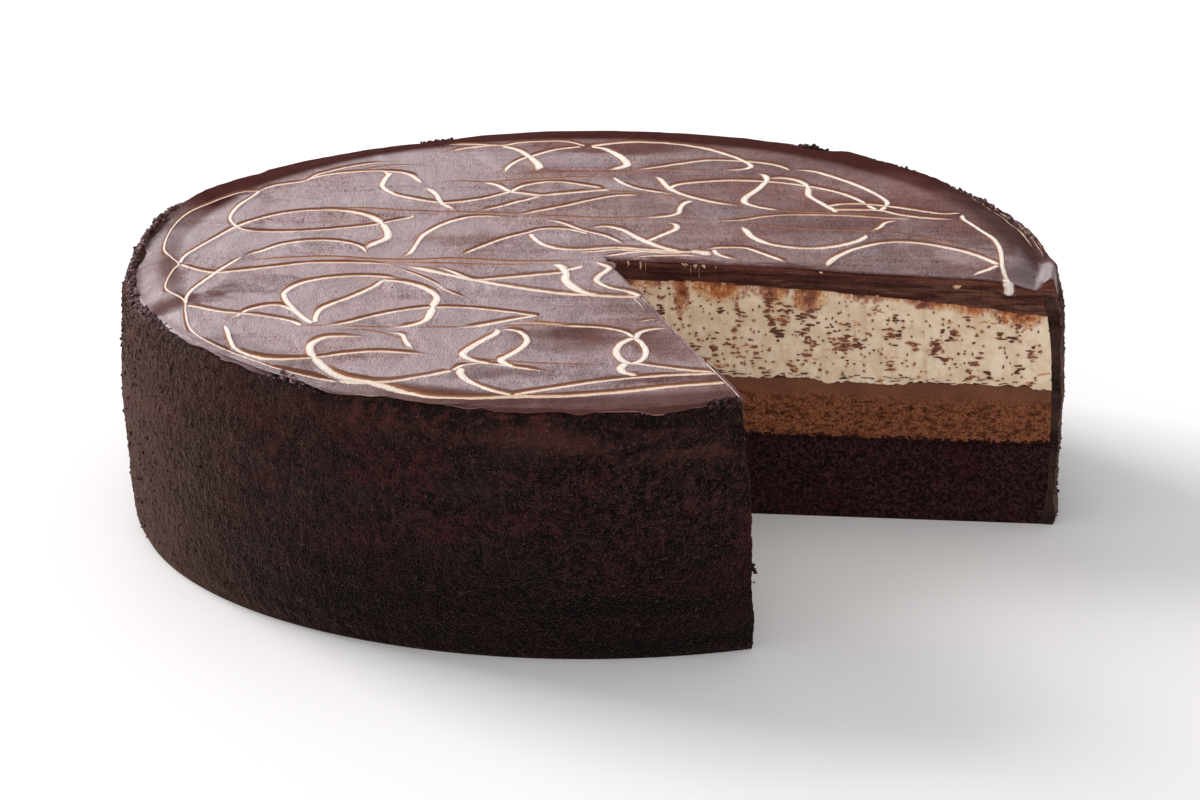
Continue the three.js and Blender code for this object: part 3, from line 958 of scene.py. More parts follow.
BLEEDS = [        # where chocolate bled into the cream: along the cut, width, depth below its top
    (4.0, 7.0, 4.5), (13.0, 4.5, 3.0), (30.0, 10.0, 6.5), (44.0, 7.0, 5.0), (54.0, 6.0, 9.0),
    (68.0, 9.0, 3.0), (86.0, 10.0, 3.0), (96.0, 5.0, 4.0), (108.0, 9.0, 5.5), (20.0, 3.0, 12.0),
]


def cream_stain(u, below, seed):
    """How far chocolate has bled: blurred spots hanging from the top edge, broken by noise."""
    stain = 0.5 * ease(2.2, 0.2, below) * (0.6 + 0.4 * drift(u / 4, u * 0, seed))
    for n, (at, wide, deep) in enumerate(BLEEDS):
        edge = 1 - np.hypot((u - at) / wide, below / deep)
        stain = np.maximum(stain, np.clip(edge, 0, 1) * (0.9 + 0.25 * draw(n, 5, seed)))
    broken = 0.68 + 0.62 * rough(u / 1.3, below / 1.7, seed + 3, 4)
    return np.clip(stain * broken * 1.5, 0, 1)


def cut_of_cream(points, out, up, end):
    """Cream on the cut: faint upright knife marks, small tears, a ragged lower edge."""
    distance, facing = cut_frame(points, end)
    u, v = distance, points[..., 2]
    relief = (0.14 * rough(u / 9, v / 14, 43) + 0.07 * rough(u / 0.9, v / 9, 47, 2)
              + 0.10 * rough(u / 1.6, v / 1.1, 53, 2) + 0.12)
    relief = relief * ease(0, 1.5, distance)
    points = points + facing * relief[..., None]
    teeth = 0.55 * rough(u / 1.3, v * 0, 59, 2) + 0.9 * rough(u / 6, v * 0, 61, 2)
    points[..., 2] += (teeth - 1.1 * GAP) * ease(0.07, 0, up)
    points[..., 2] += 1.2 * GAP * ease(0.95, 1, up)
    top = points[:, -1:, 2]
    stain = cream_stain(u, top - points[..., 2], 67 + end)
    stain = np.maximum(stain, halo(u, v, flecks[end]))
    return points, np.stack([u * MM, v * MM, stain], -1)


def cut_of_ganache(points, out, up, end):
    """Ganache on the cut: smeared along the knife, scalloped where it broke at the top."""
    distance, facing = cut_frame(points, end)
    u, v = distance, points[..., 2]
    smears = 0.28 * rough(u / 14, v / 1.5, 71, 3) + 0.12 * rough(u / 2, v / 1.0, 73, 2)
    scallop = (0.6 * np.abs(drift(u / 9, u * 0, 79)) + 0.4 * drift(u / 3.5, u * 0, 83)
               + 0.2 * drift(u / 1.1, u * 0, 85))
    relief = (smears + 0.2 - scallop * ease(0.6, 1, up)) * ease(0, 2, distance)
    points = points + facing * relief[..., None]
    points[..., 2] -= 0.5 * scallop * ease(0.75, 1, up)
    points[..., 2] -= (0.6 * GAP + 0.35 * rough(u / 3, v * 0, 89, 3)) * ease(0.12, 0, up)
    return points, np.stack([u * MM, v * MM, np.broadcast_to(1 + up, u.shape)], -1)


# ---- flecks in the cream -------------------------------------------------------------------
def scatter_flecks(end):
    """Rows of (along, height, length, tallness, turn, kind): clusters, and singles between.

    A cluster is a few short level dashes stacked over each other, most of them in the middle
    of the layer; lengths are drawn from a lopsided spread, and one single in five stands
    upright. Thin dark cracks run along the foot of the layer.
    """
    rng = np.random.default_rng(SEED + end)
    blocks, alone, cracks = 84, 320, 110
    centres = np.stack([rng.uniform(5, 119, blocks), rng.beta(1.6, 1.8, blocks)], -1)
    members = rng.integers(2, 8, blocks)
    spots = np.repeat(centres, members, axis=0)
    spots = spots + rng.normal(0, 1, spots.shape) * [0.5, 0.045]
    kinds = np.repeat(rng.random(blocks), members)
    singles = np.stack([rng.uniform(3, 120, alone), rng.uniform(0.04, 0.94, alone)], -1)
    seam = np.stack([rng.uniform(3, 120, cracks), rng.uniform(-0.03, 0.035, cracks)], -1)
    dashes = len(spots)
    spots = np.concatenate([spots, singles, seam])
    kinds = np.concatenate([kinds, rng.random(alone), np.zeros(cracks)])
    count = len(spots)
    length = np.clip(rng.lognormal(0.52, 0.34, count), 0.8, 3.2)
    length[dashes:dashes + alone] *= 0.42
    tall = np.clip(rng.lognormal(-0.50, 0.25, count), 0.38, 0.95)
    tall[-cracks:] = 0.22
    turn = rng.normal(0, 0.10, count)
    turn[dashes:][rng.random(count - dashes) < 0.2] += math.pi / 2
    turn[-cracks:] = rng.normal(0, 0.2, cracks)
    spots[:dashes, 1] = np.clip(spots[:dashes, 1], 0.04, 0.96)
    return np.column_stack([spots, length, tall, turn, kinds])


def fleck_heights(rows, end):
    """Turns a share of the layer's height into a height, at each fleck's place on the cut.

    Flecks that would reach into the coat are left out.
    """
    angle = cut_angle(end)
    x, y = from_tip(angle, rows[:, 0])
    low, high = mousse_level(x, y) + 0.8, cream_level(x, y) - 0.4
    rows = rows.copy()
    rows[:, 1] = mix(low, high, rows[:, 1])
    far = reach(angle, wall_radius(rows[:, 1]) - COAT_AT_RIM - 1.0, rows[:, 1])
    return rows[rows[:, 0] + rows[:, 2] < far]


def halo(u, v, rows):
    """A weak stain round each fleck, falling off with distance, for grids of points."""
    flat_u, flat_v = u.ravel(), v.ravel()
    order = np.argsort(flat_u)
    sorted_u = flat_u[order]
    result = np.zeros(u.size)
    for at, height, length, tall, turn, kind in rows:
        near = order[np.searchsorted(sorted_u, at - length - 1.2):
                     np.searchsorted(sorted_u, at + length + 1.2)]
        away = np.hypot((flat_u[near] - at) / (0.5 * length + 0.7),
                        (flat_v[near] - height + 0.15) / (0.5 * tall + 0.8))
        result[near] = np.maximum(result[near], (0.06 + 0.26 * kind) * np.clip(1 - away, 0, 1))
    return result.reshape(u.shape)


flecks = [fleck_heights(scatter_flecks(end), end) for end in (0, 1)]


FLECK_POINTS = 10                        # round one fleck
FLECK_DEEP, FLECK_EDGE = 0.2, 0.05       # its back inside the cream, its edge out of the cut
FLECK_SHOULDER, FLECK_TOP = 0.40, 0.46   # and how far its raised middle stands out


def fleck_piece():
    """Thin chips on both cuts: a wavering ring of points round a raised middle."""
    skin = Skin()
    ring = np.linspace(0, 2 * math.pi, FLECK_POINTS + 1)[:-1]
    follow = np.roll(np.arange(FLECK_POINTS), -1)
    for end, rows in enumerate(flecks):
        rng = np.random.default_rng(SEED + 40 + end)
        at, height, length, tall, turn, kind = rows.T[:, :, None]
        waver = 1 + 0.38 * rng.uniform(-1, 1, (len(rows), FLECK_POINTS))
        a = 0.5 * length * np.cos(ring) * waver
        b = 0.5 * tall * np.sin(ring) * waver
        u = at + a * np.cos(turn) - b * np.sin(turn)
        v = height + a * np.sin(turn) + b * np.cos(turn)
        angle = cut_angle(end)
        base = at_tip(angle, float(end), u, v)
        middle = at_tip(angle, float(end), at, height)
        facing = cut_frame(base, end)[1]
        kinds = np.broadcast_to(kind, u.shape)
        marks = np.stack([np.ones(u.shape), kinds, kinds], -1)
        low = skin.lay(base + facing * FLECK_EDGE, marks)
        inner = mix(middle, base, 0.62)
        shoulder = skin.lay(inner + facing * FLECK_SHOULDER, marks * [0.5, 1, 1])
        top = skin.lay(middle + facing * FLECK_TOP, (marks * [0.0, 1, 1])[:, :1])
        back = skin.lay(middle - facing * FLECK_DEEP, (marks * [0.0, 1, 1])[:, :1])
        for lower, upper in [(back, low), (low, shoulder), (shoulder, top)]:
            a, b = np.broadcast_to(lower, low.shape), np.broadcast_to(upper, low.shape)
            quads = np.stack([np.stack([a, b, b[:, follow]], -1),
                              np.stack([a, b[:, follow], a[:, follow]], -1)]).reshape(-1, 3)
            skin.triangles.append(quads if end == 1 else quads[:, ::-1])
    return skin.object("chocolate_flecks")


# ---- the crumb coat ------------------------------------------------------------------------
def rim_level(angle, heaped):
    """Height of the coat's crest: just under the ganache, or above it where crumbs are heaped."""
    near_top = RIM_HEIGHT - 2
    x, y = from_tip(angle, reach(angle, wall_radius(near_top) - coat_thickness(near_top), near_top))
    arc = angle * WIDEST_RADIUS
    broken = 0.30 * rough(arc / 9, arc * 0, 97) + 0.55 * pebbles(arc / 2.2, arc * 0, 101)
    under = LIP_OVER + 3.6 * run_over(np.degrees(angle)) + 0.65 * hanging(np.degrees(angle))
    return (ganache_level(x, y) + bumps_at(x, y, RIM_RISES)
            + mix(wavering(angle) - under, RIM_PROUD + broken, heaped))


def coat_place(turn, out, up):
    """place(turn, out, up) for the coat: out runs from its inside to its grainy outside.

    The grain is small pebbles all over, large ones in places under the crest, and slow swells;
    beside the shown cut the foot of the wall is fuller.
    """
    turn, out, up = np.broadcast_arrays(turn, out, up)
    angle = np.radians(mix(SHOWN_CUT, TURNED_CUT, turn))
    heaped = crumbed(np.degrees(angle)) * ease(0.25, 0.55, out)
    crest = rim_level(angle, heaped)
    corner = mix(0.5, 1.5, heaped) * ease(0.45, 1.0, out) ** 2
    level = up * (crest - corner)
    outer = reach(angle, wall_radius(level), level)
    inner = reach(angle, wall_radius(level) - coat_thickness(level), level)
    arc = angle * WIDEST_RADIUS
    coarse = ease(11, 4, crest - level) * ease(-0.5, 0.3, rough(arc / 14, arc * 0, 181))
    grain = (0.20 * pebbles(arc / 1.3, level / 1.9, 103)
             + 0.14 * rough(arc / 0.9, level / 1.4, 107, 1)
             + 0.75 * coarse * pebbles(arc / 2.6, level / 2.2, 109)
             + 0.42 * rough(arc / 13, level / 6, 113, 3)
             + 0.22 * rough(arc / 60, level / 3.0, 127, 2))
    fuller = 1.7 * ease(9, 0, level) * bell(np.degrees(angle), SHOWN_CUT, 12)
    grain = (grain - 0.3) * ease(0, 2, level) + fuller
    distance = mix(inner, outer - 0.5 * ease(0.97, 1.0, up) + grain, out)
    return at_tip(angle, turn ** 10, distance, level)


def coat_mark(turn, up, points):
    """How far below the coat's crest a point of the wall lies, in metres."""
    angle = np.radians(mix(SHOWN_CUT, TURNED_CUT, turn))
    return (rim_level(angle, crumbed(np.degrees(angle))) - points[..., 2]) * MM


def cut_of_coat(points, out, up, end):
    """Coat on the cut: crumbly, and a wavering inner edge that laps over the layers."""
    distance, facing = cut_frame(points, end)
    v = points[..., 2]
    lap = (0.25 + 0.6 * rough(v / 3.5, v * 0, 131 + end, 3)) * (1 - out)
    angle = cut_angle(end)
    inward = -np.array([math.cos(angle), math.sin(angle), 0.0])
    edge = 0.7 * rough(v / 9, v * 0, 139 + end, 3) * out - COAT_BACK[end]
    relief = 0.35 * pebbles(distance / 1.1, v / 1.3, 137) + edge
    points = points + facing * relief[..., None] + inward * lap[..., None]
    return points, np.stack([distance * MM, v * MM, np.ones(v.shape)], -1)


# ---- loose crumbs --------------------------------------------------------------------------
GOLDEN = (1 + 5 ** 0.5) / 2
# twelve points at even distances on a ball of radius 1, each (0, 1, GOLDEN) in some order
BALL = np.array([(0, s, t * GOLDEN) for s in (-1, 1) for t in (-1, 1)]
                + [(s, t * GOLDEN, 0) for s in (-1, 1) for t in (-1, 1)]
                + [(t * GOLDEN, 0, s) for s in (-1, 1) for t in (-1, 1)]) / math.hypot(1, GOLDEN)


def ball_faces():
    """The twenty triangles of the twelve-pointed ball, fronts outwards."""
    faces = []
    edge = 2 / math.hypot(1, GOLDEN) + 1e-6
    near = np.linalg.norm(BALL[:, None] - BALL[None], axis=-1) < edge
    for a in range(len(BALL)):
        for b in range(a + 1, len(BALL)):
            for c in range(b + 1, len(BALL)):
                if near[a, b] and near[b, c] and near[a, c]:
                    front = np.dot(np.cross(BALL[b] - BALL[a], BALL[c] - BALL[a]), BALL[a]) > 0
                    faces.append((a, b, c) if front else (a, c, b))
    return np.array(faces)


def grains(skin, centres, sizes, seed, red_share=0.2, paler=1.0):
    """Adds a twelve-pointed ball for each centre, its points drawn in or out, stretched.

    It is marked with how pale and how red it is.
    """
    rng = np.random.default_rng(seed)
    count = len(centres)
    lumps = BALL[None] * rng.uniform(0.6, 1.25, (count, len(BALL), 1))
    stretch = rng.uniform(0.65, 1.3, (count, 1, 3))
    points = centres[:, None] + lumps * stretch * sizes[:, None, None]
    shade = rng.random((count, 1)) ** 2 * np.reshape(paler, (-1, 1))
    red = (rng.random((count, 1)) < np.reshape(red_share, (-1, 1))) * rng.random((count, 1))
    marks = np.broadcast_to(np.stack([shade, red, shade], -1), points.shape)
    ids = skin.lay(points, np.ascontiguousarray(marks))
    skin.triangles.append(ids[:, ball_faces()].reshape(-1, 3))


def rim_crumbs():
    """Crumbs along the rim: many and heaped where they lie instead of ganache, else a few."""
    rng = np.random.default_rng(SEED + 71)
    turn = rng.random(7500)
    degrees = mix(SHOWN_CUT, TURNED_CUT, turn)
    thick = 0.02 + 0.9 * crumbed(degrees) + 0.12 * bell(degrees, 40, 22)
    turn = turn[rng.random(turn.size) < thick]
    degrees = mix(SHOWN_CUT, TURNED_CUT, turn)
    heap = bell(degrees, 178, 24) + bell(degrees, 21, 15) + 1.2 * bell(degrees, 228, 4)
    out = np.clip(rng.normal(0.80, 0.16, turn.size), 0.3, 1.0)
    centres = coat_place(turn, out, np.ones(turn.shape))
    sizes = np.clip(rng.lognormal(-1.05, 0.4, turn.size), 0.18, 0.75)
    centres[:, 2] += rng.uniform(-0.5, 0.3, turn.size) + heap * rng.random(turn.size) * 0.5
    skin = Skin()
    reddish = 0.25 + 0.6 * bell(degrees, 286, 7)
    # Paler where heaped: partly the crumbs' own tone, partly painted highlights
    grains(skin, centres, sizes, SEED + 72, reddish, 0.2 + heap)
    return skin.object("rim_crumbs")


def wall_crumbs():
    """Crumbs standing out of the wall, more of them in the band under the rim."""
    rng = np.random.default_rng(SEED + 81)
    turn = rng.random(8200)
    share = np.where(rng.random(turn.size) < 0.4, 1 - 0.25 * rng.random(turn.size) ** 1.5,
                     rng.random(turn.size))
    centres = coat_place(turn, np.ones(turn.shape), share * 0.96 + 0.015)
    sizes = np.clip(rng.lognormal(-1.35, 0.4, turn.size), 0.14, 0.55)
    skin = Skin()
    grains(skin, centres, sizes, SEED + 82)
    return skin.object("wall_crumbs")


def seam_crumbs():
    """Dark crumbs dragged up by the knife along the top of the sponge, on both cuts."""
    skin = Skin()
    for end in (0, 1):
        rng = np.random.default_rng(SEED + 91 + end)
        u = rng.uniform(4, 118, 620)
        angle = cut_angle(end)
        base = at_tip(angle, float(end), u, np.full(u.shape, SPONGE_TOP))
        height = sponge_level(base[:, 0], base[:, 1]) + rng.normal(0.1, 0.45, u.size)
        facing = cut_frame(base, end)[1]
        centres = at_tip(angle, float(end), u, height) + facing * rng.uniform(0, 0.2, (u.size, 1))
        grains(skin, centres, np.clip(rng.lognormal(-1.15, 0.3, u.size), 0.16, 0.5),
               SEED + 93 + end, 0.15)
    return skin.object("seam_crumbs")


# ---- the swirl -----------------------------------------------------------------------------
UNIT = 125.0
# Cream piped in loops and drawn out by a skewer, as it lies on the ganache. Each stroke is
# (width, milk, caramel_and_shade, fades, points): how wide and how white it is, how much it
# browned and is darkened by painted shade on its far side, how long it dies out at its two ends
# (mm), and where it runs, in thousandths of UNIT, +Y far side.
STROKES = [
    # the outer loop: left, back left, front, right
    (0.55, 0.75, 1.3, (0, 0), [(-723, 454), (-769, 435), (-831, 354), (-877, 269), (-902, 154),
     (-906, 38), (-885, -31), (-868, -75), (-877, -115), (-888, -200), (-877, -246), (-842, -315),
     (-835, -385), (-819, -477), (-769, -577), (-692, -669), (-615, -738), (-508, -800)]),
    (0.7, 0.7, 1.0, (0, 8), [(-723, 454), (-692, 492), (-630, 528), (-600, 580), (-546, 628),
     (-490, 660), (-430, 680)]),
    (0.9, 0.8, 1.0, (4, 0), [(-627, 531), (-600, 562), (-550, 588), (-492, 600), (-455, 598),
     (-446, 570)]),
    (1.2, 1.0, 1.0, (8, 0), [(-450, -560), (-492, -556), (-540, -562), (-568, -605), (-566, -665),
     (-538, -738), (-500, -786), (-440, -822), (-346, -892), (-250, -916), (-150, -914),
     (-60, -916), (60, -892), (160, -859), (262, -834)]),
    (0.86, 0.9, 0.9, (3, 0), [(800, 300), (800, 262), (815, 223), (838, 169), (854, 131), (862, 85),
     (865, 30), (863, -30), (862, -60), (865, -100), (869, -140), (865, -190), (857, -228)]),
    (1.25, 1.0, 0.6, (9, 2), [(862, -90), (867, -140), (866, -190), (856, -230)]),
    (0.9, 1.0, 0.5, (0, 3), [(854, -58), (836, -82), (812, -112), (790, -142)]),
    # loops on the left half, behind the middle line
    (0.72, 1.0, 1.0, (0, 4), [(-723, 454), (-738, 408), (-765, 335), (-778, 260), (-769, 208),
     (-745, 168), (-692, 152), (-620, 152), (-554, 165), (-480, 190), (-423, 231), (-388, 256),
     (-386, 288)]),
    (0.76, 1.0, 1.0, (0, 0), [(-866, -69), (-858, -20), (-831, 46), (-795, 125), (-750, 200),
     (-692, 262), (-630, 298), (-570, 306)]),
    (1.1, 1.0, 1.0, (9, 6), [(-640, 294), (-570, 306), (-508, 288), (-464, 242), (-440, 170),
     (-436, 105), (-462, 62), (-484, 15)]),
    (0.8, 0.9, 1.1, (5, 4), [(-735, -19), (-700, 15), (-662, 58), (-615, 81), (-569, 85),
     (-525, 72), (-490, 38), (-473, -15)]),
    (0.9, 0.9, 1.0, (3, 8), [(-400, -35), (-383, 0), (-373, 54), (-358, 125), (-322, 195),
     (-275, 248), (-231, 262), (-170, 255)]),
    (0.8, 0.9, 1.1, (6, 0), [(-280, -20), (-238, 38), (-185, 100), (-138, 140), (-105, 168),
     (-54, 169), (-8, 135)]),
    (1.0, 1.0, 0.8, (0, 0), [(-131, 135), (-123, 100), (-100, 52), (-62, 26), (-20, 24), (46, 40),
     (100, 30), (150, 20), (205, 8)]),
    (0.8, 0.8, 0.9, (4, 0), [(-105, 245), (-60, 210), (-20, 160), (30, 120), (70, 60)]),
    (1.0, 1.0, 0.7, (0, 3), [(-292, 305), (-325, 360), (-336, 415), (-350, 460), (-368, 492)]),
    (0.9, 1.0, 1.0, (0, 0), [(-368, 505), (-382, 540), (-400, 575), (-425, 592), (-455, 598)]),
    (0.95, 1.0, 0.9, (0, 0), [(-442, 590), (-454, 531), (-456, 480), (-427, 423), (-380, 388),
     (-330, 362)]),
    (0.85, 0.9, 1.1, (0, 3), [(-325, 358), (-269, 373), (-220, 402), (-180, 440), (-150, 488),
     (-115, 512), (-77, 519), (-20, 498), (30, 470)]),
    (1.0, 1.0, 0.9, (3, 0), [(-235, 525), (-204, 492), (-178, 446), (-150, 430), (-108, 415),
     (-60, 432), (0, 452), (40, 462)]),
    (0.8, 0.8, 1.1, (6, 0), [(-250, 300), (-200, 331), (-162, 366), (-108, 412)]),
    (0.8, 0.8, 1.1, (8, 3), [(-170, 270), (-120, 300), (-54, 342), (0, 385), (50, 415),
     (105, 424)]),
    (1.15, 1.0, 0.8, (0, 4), [(-200, 800), (-160, 764), (-131, 700), (-115, 640), (-125, 600)]),
    (0.8, 0.9, 1.0, (3, 0), [(-190, 585), (-185, 630), (-162, 685), (-131, 723), (-80, 770),
     (-20, 798)]),
    (0.8, 0.7, 1.0, (8, 0), [(-331, 746), (-290, 778), (-240, 800), (-200, 806)]),
    (0.75, 0.7, 0.9, (5, 0), [(-330, 812), (-269, 817), (-200, 806), (-160, 830), (-100, 842),
     (-50, 836), (-12, 802)]),
    # loops behind the middle line, right half
    (1.15, 1.0, 0.8, (0, 5), [(0, 798), (31, 777), (60, 728), (78, 675), (74, 640), (30, 606)]),
    (1.0, 0.9, 0.8, (0, 5), [(0, 800), (46, 823), (100, 835), (177, 823), (250, 788), (308, 731),
     (342, 680), (354, 646), (330, 620), (285, 616)]),
    (0.8, 0.8, 0.9, (6, 0), [(92, 608), (138, 631), (200, 664), (262, 690), (323, 687), (380, 674),
     (420, 648), (438, 620)]),
    (1.0, 0.95, 0.7, (6, 0), [(440, 622), (490, 610), (546, 554), (600, 478), (640, 392),
     (635, 346), (622, 312)]),
    (1.05, 1.0, 0.8, (2, 4), [(360, 598), (383, 575), (384, 535), (364, 475), (336, 410),
     (334, 370), (365, 338), (410, 320)]),
    (0.95, 0.9, 1.0, (0, 0), [(170, 470), (192, 502), (250, 524), (320, 535), (400, 527),
     (460, 505), (520, 468), (569, 415), (600, 355), (619, 312)]),
    (1.0, 1.0, 0.9, (3, 0), [(385, 558), (430, 556), (460, 530), (474, 490), (474, 430), (492, 385),
     (515, 338), (531, 304)]),
    (0.85, 1.0, 1.1, (0, 2), [(508, 346), (545, 364), (600, 364), (646, 348), (700, 322),
     (755, 298), (800, 305)]),
    (0.9, 1.0, 1.1, (0, 6), [(520, 322), (569, 323), (625, 316), (665, 286), (731, 262),
     (790, 258)]),
    (0.85, 0.9, 1.0, (3, 8), [(46, 560), (65, 515), (95, 474), (135, 448), (190, 425)]),
    (1.0, 1.0, 1.0, (2, 8), [(135, 570), (152, 540), (164, 490), (180, 452), (215, 408), (269, 366),
     (330, 346)]),
    (1.0, 1.0, 0.9, (0, 7), [(219, 378), (202, 358), (192, 325), (186, 285), (160, 262),
     (100, 250)]),
    (1.1, 1.0, 0.9, (0, 3), [(-8, 180), (31, 188), (66, 162), (95, 112), (138, 52), (180, 15),
     (200, -2)]),
    (0.95, 1.0, 0.9, (2, 0), [(154, 222), (178, 208), (180, 175), (150, 130), (119, 85)]),
    (1.05, 1.0, 0.7, (2, 0), [(318, 202), (330, 162), (345, 112), (385, 62), (450, 38), (510, 52),
     (560, 90), (584, 128), (575, 148)]),
    (1.05, 1.0, 0.9, (0, 0), [(492, -95), (498, -60), (520, -10), (560, 42), (612, 80), (665, 90),
     (720, 72), (785, 30), (835, -30), (854, -56)]),
    (0.75, 0.5, 1.1, (8, 8), [(250, 234), (320, 240), (370, 268), (420, 286), (480, 285),
     (560, 278), (640, 262), (720, 258)]),
    (0.85, 0.8, 0.9, (5, 3), [(590, 160), (615, 190), (631, 228), (660, 250)]),
    # thin folds on the rim at the back right
    (0.5, 0.4, 0.3, (6, 9), [(818, 487), (862, 405), (900, 318), (930, 214), (946, 120)]),
    (0.45, 0.35, 0.2, (8, 6), [(868, 425), (905, 335), (934, 245), (952, 160), (962, 60)]),
    (0.4, 0.3, 0.2, (9, 9), [(895, 380), (930, 290), (953, 200), (966, 110)]),
    # a thin line left along the turned cut's edge
    (0.45, 0.8, 0.2, (6, 0), [(215, -690), (243, -772), (262, -834), (281, -894), (294, -935)]),
    (0.4, 0.7, 0.2, (4, 6), [(62, -240), (82, -300), (110, -385)]),
    # by the tip and along the shown cut
    (0.9, 1.0, 1.1, (4, 0), [(-40, 2), (10, 12), (50, 26), (100, 18), (160, 4), (215, 15)]),
    (0.9, 1.0, 1.0, (3, 0), [(20, -42), (46, -19), (77, 4), (123, 14), (180, 14)]),
    (0.8, 1.0, 0.6, (0, 0), [(92, -56), (102, -36), (130, -20), (185, -12), (240, -20)]),
    (1.6, 1.0, 0.6, (3, 3), [(195, 18), (215, 14), (235, 6), (255, -12)]),
    (0.9, 1.0, 1.0, (0, 2), [(235, 30), (270, 42), (320, 40), (352, 10), (385, -31), (412, -64)]),
    (0.9, 1.0, 0.8, (0, 2), [(258, 30), (262, 0), (282, -25), (310, -44)]),
    (1.0, 1.0, 0.8, (0, 0), [(0, -58), (18, -80), (35, -102), (27, -131), (12, -165), (10, -200),
     (35, -240), (75, -266), (98, -294)]),
    # the loops before the middle line
    (0.9, 0.9, 1.1, (0, 10), [(-865, -77), (-835, -110), (-792, -135), (-740, -124), (-662, -96),
     (-600, -73), (-530, -69), (-460, -75), (-400, -85)]),
    (0.74, 1.0, 1.0, (4, 0), [(-735, -19), (-760, -75), (-785, -131), (-800, -170), (-828, -245),
     (-838, -300), (-837, -335)]),
    (0.9, 1.0, 0.9, (0, 0), [(-835, -346), (-808, -367), (-760, -396), (-700, -410), (-640, -430),
     (-608, -458), (-596, -483)]),
    (0.8, 0.9, 1.1, (2, 0), [(-750, -440), (-727, -420), (-706, -380), (-670, -352), (-640, -352),
     (-612, -385), (-592, -431), (-577, -465)]),
    (0.95, 0.95, 1.1, (0, 4), [(-573, -469), (-590, -428), (-615, -369), (-632, -320), (-637, -270),
     (-610, -215), (-560, -178), (-500, -162), (-446, -165), (-400, -180)]),
    (1.1, 1.0, 1.0, (0, 7), [(-440, -190), (-392, -206), (-345, -248), (-322, -300), (-327, -350),
     (-333, -410), (-342, -455), (-372, -488), (-420, -500)]),
    (0.9, 1.0, 1.1, (0, 0), [(-435, -192), (-460, -245), (-505, -310), (-554, -369), (-566, -415),
     (-566, -462)]),
    (0.85, 0.9, 1.1, (8, 0), [(-560, -490), (-508, -472), (-462, -438), (-400, -398), (-345, -372),
     (-277, -369), (-220, -382), (-160, -404), (-112, -425)]),
    (1.0, 1.0, 1.0, (0, 8), [(-118, -422), (-150, -440), (-195, -467), (-240, -492), (-290, -500)]),
    (1.3, 0.25, 1.6, (10, 10), [(-231, -492), (-185, -477), (-138, -464), (-77, -475), (0, -490)]),
    (1.05, 1.0, 1.0, (3, 5), [(-200, -500), (-194, -528), (-215, -568), (-248, -628), (-262, -670),
     (-240, -708), (-185, -742)]),
    (1.05, 1.0, 1.0, (3, 4), [(-190, -506), (-150, -526), (-134, -570), (-140, -615), (-165, -670),
     (-185, -705), (-172, -735), (-146, -760)]),
    (0.9, 1.0, 0.8, (3, 3), [(-418, -522), (-388, -542), (-380, -580), (-372, -610), (-360, -640)]),
    (0.8, 1.0, 0.9, (3, 0), [(-754, -465), (-744, -505), (-735, -560), (-722, -610), (-690, -655)]),
    (0.9, 0.95, 1.0, (0, 8), [(-700, -645), (-654, -678), (-600, -690), (-550, -687), (-490, -662),
     (-431, -649), (-370, -660), (-320, -672)]),
    (1.0, 1.0, 0.9, (0, 0), [(-508, -796), (-462, -815), (-400, -824), (-345, -806), (-281, -769)]),
    (0.8, 0.8, 1.1, (0, 8), [(-281, -769), (-258, -735), (-210, -728), (-150, -752), (-80, -775)]),
    (1.1, 1.0, 0.9, (0, 0), [(-264, -752), (-264, -790), (-244, -836), (-205, -880), (-160, -910)]),
    (1.0, 1.0, 1.0, (0, 0), [(-160, -908), (-90, -880), (0, -836), (90, -806), (160, -790),
     (248, -780)]),
    (1.25, 1.0, 0.8, (9, 0), [(-400, -85), (-350, -120), (-292, -160), (-230, -197), (-154, -238),
     (-70, -276), (0, -290), (50, -297), (98, -298)]),
    (0.9, 1.0, 0.9, (8, 0), [(-330, -92), (-298, -128), (-262, -172), (-235, -186), (-185, -173),
     (-110, -152), (-58, -138)]),
    (1.3, 1.0, 0.7, (0, 0), [(-78, -76), (-62, -104), (-56, -146), (-56, -190), (-42, -232),
     (-20, -270), (10, -290)]),
    (1.1, 1.0, 0.7, (0, 0), [(-20, -72), (-28, -100), (-52, -122)]),
    (0.7, 0.5, 1.0, (8, 8), [(-420, -90), (-370, -150), (-330, -205), (-300, -260), (-250, -315)]),
    # the ring by the turned cut and its tails
    (0.9, 0.9, 1.0, (8, 0), [(-95, -484), (-40, -490), (20, -500), (62, -523), (82, -558)]),
    (1.0, 1.0, 0.9, (0, 0), [(160, -498), (118, -508), (94, -530), (86, -566)]),
    (1.05, 1.0, 0.6, (0, 0), [(84, -560), (58, -592), (46, -640), (54, -690), (76, -720),
     (98, -690), (106, -640), (98, -594), (84, -562)]),
    (1.2, 1.0, 0.8, (0, 3), [(66, -715), (54, -750), (62, -778), (96, -800)]),
    (1.0, 1.0, 0.9, (0, 0), [(80, -716), (130, -738), (190, -760), (240, -772)]),
    (0.7, 0.8, 1.2, (5, 0), [(85, -458), (115, -444), (139, -432)]),
    # where the skewer was drawn across: thin and brown
    (0.7, 0.2, 0.8, (12, 12), [(-560, 575), (-440, 640), (-330, 640)]),
    (0.8, 0.1, 0.9, (10, 10), [(-190, 572), (-60, 590), (60, 590), (180, 610), (300, 606)]),
    (0.8, 0.15, 0.9, (12, 10), [(-360, 515), (-290, 528), (-220, 520), (-60, 548), (60, 556)]),
    (0.8, 0.1, 1.0, (6, 14), [(-20, 458), (90, 440), (200, 398), (330, 350), (450, 308), (560, 296),
     (660, 280)]),
    (0.8, 0.1, 1.0, (14, 12), [(-600, 318), (-480, 318), (-380, 300), (-280, 290), (-180, 284),
     (-80, 262), (40, 250), (150, 252), (280, 232)]),
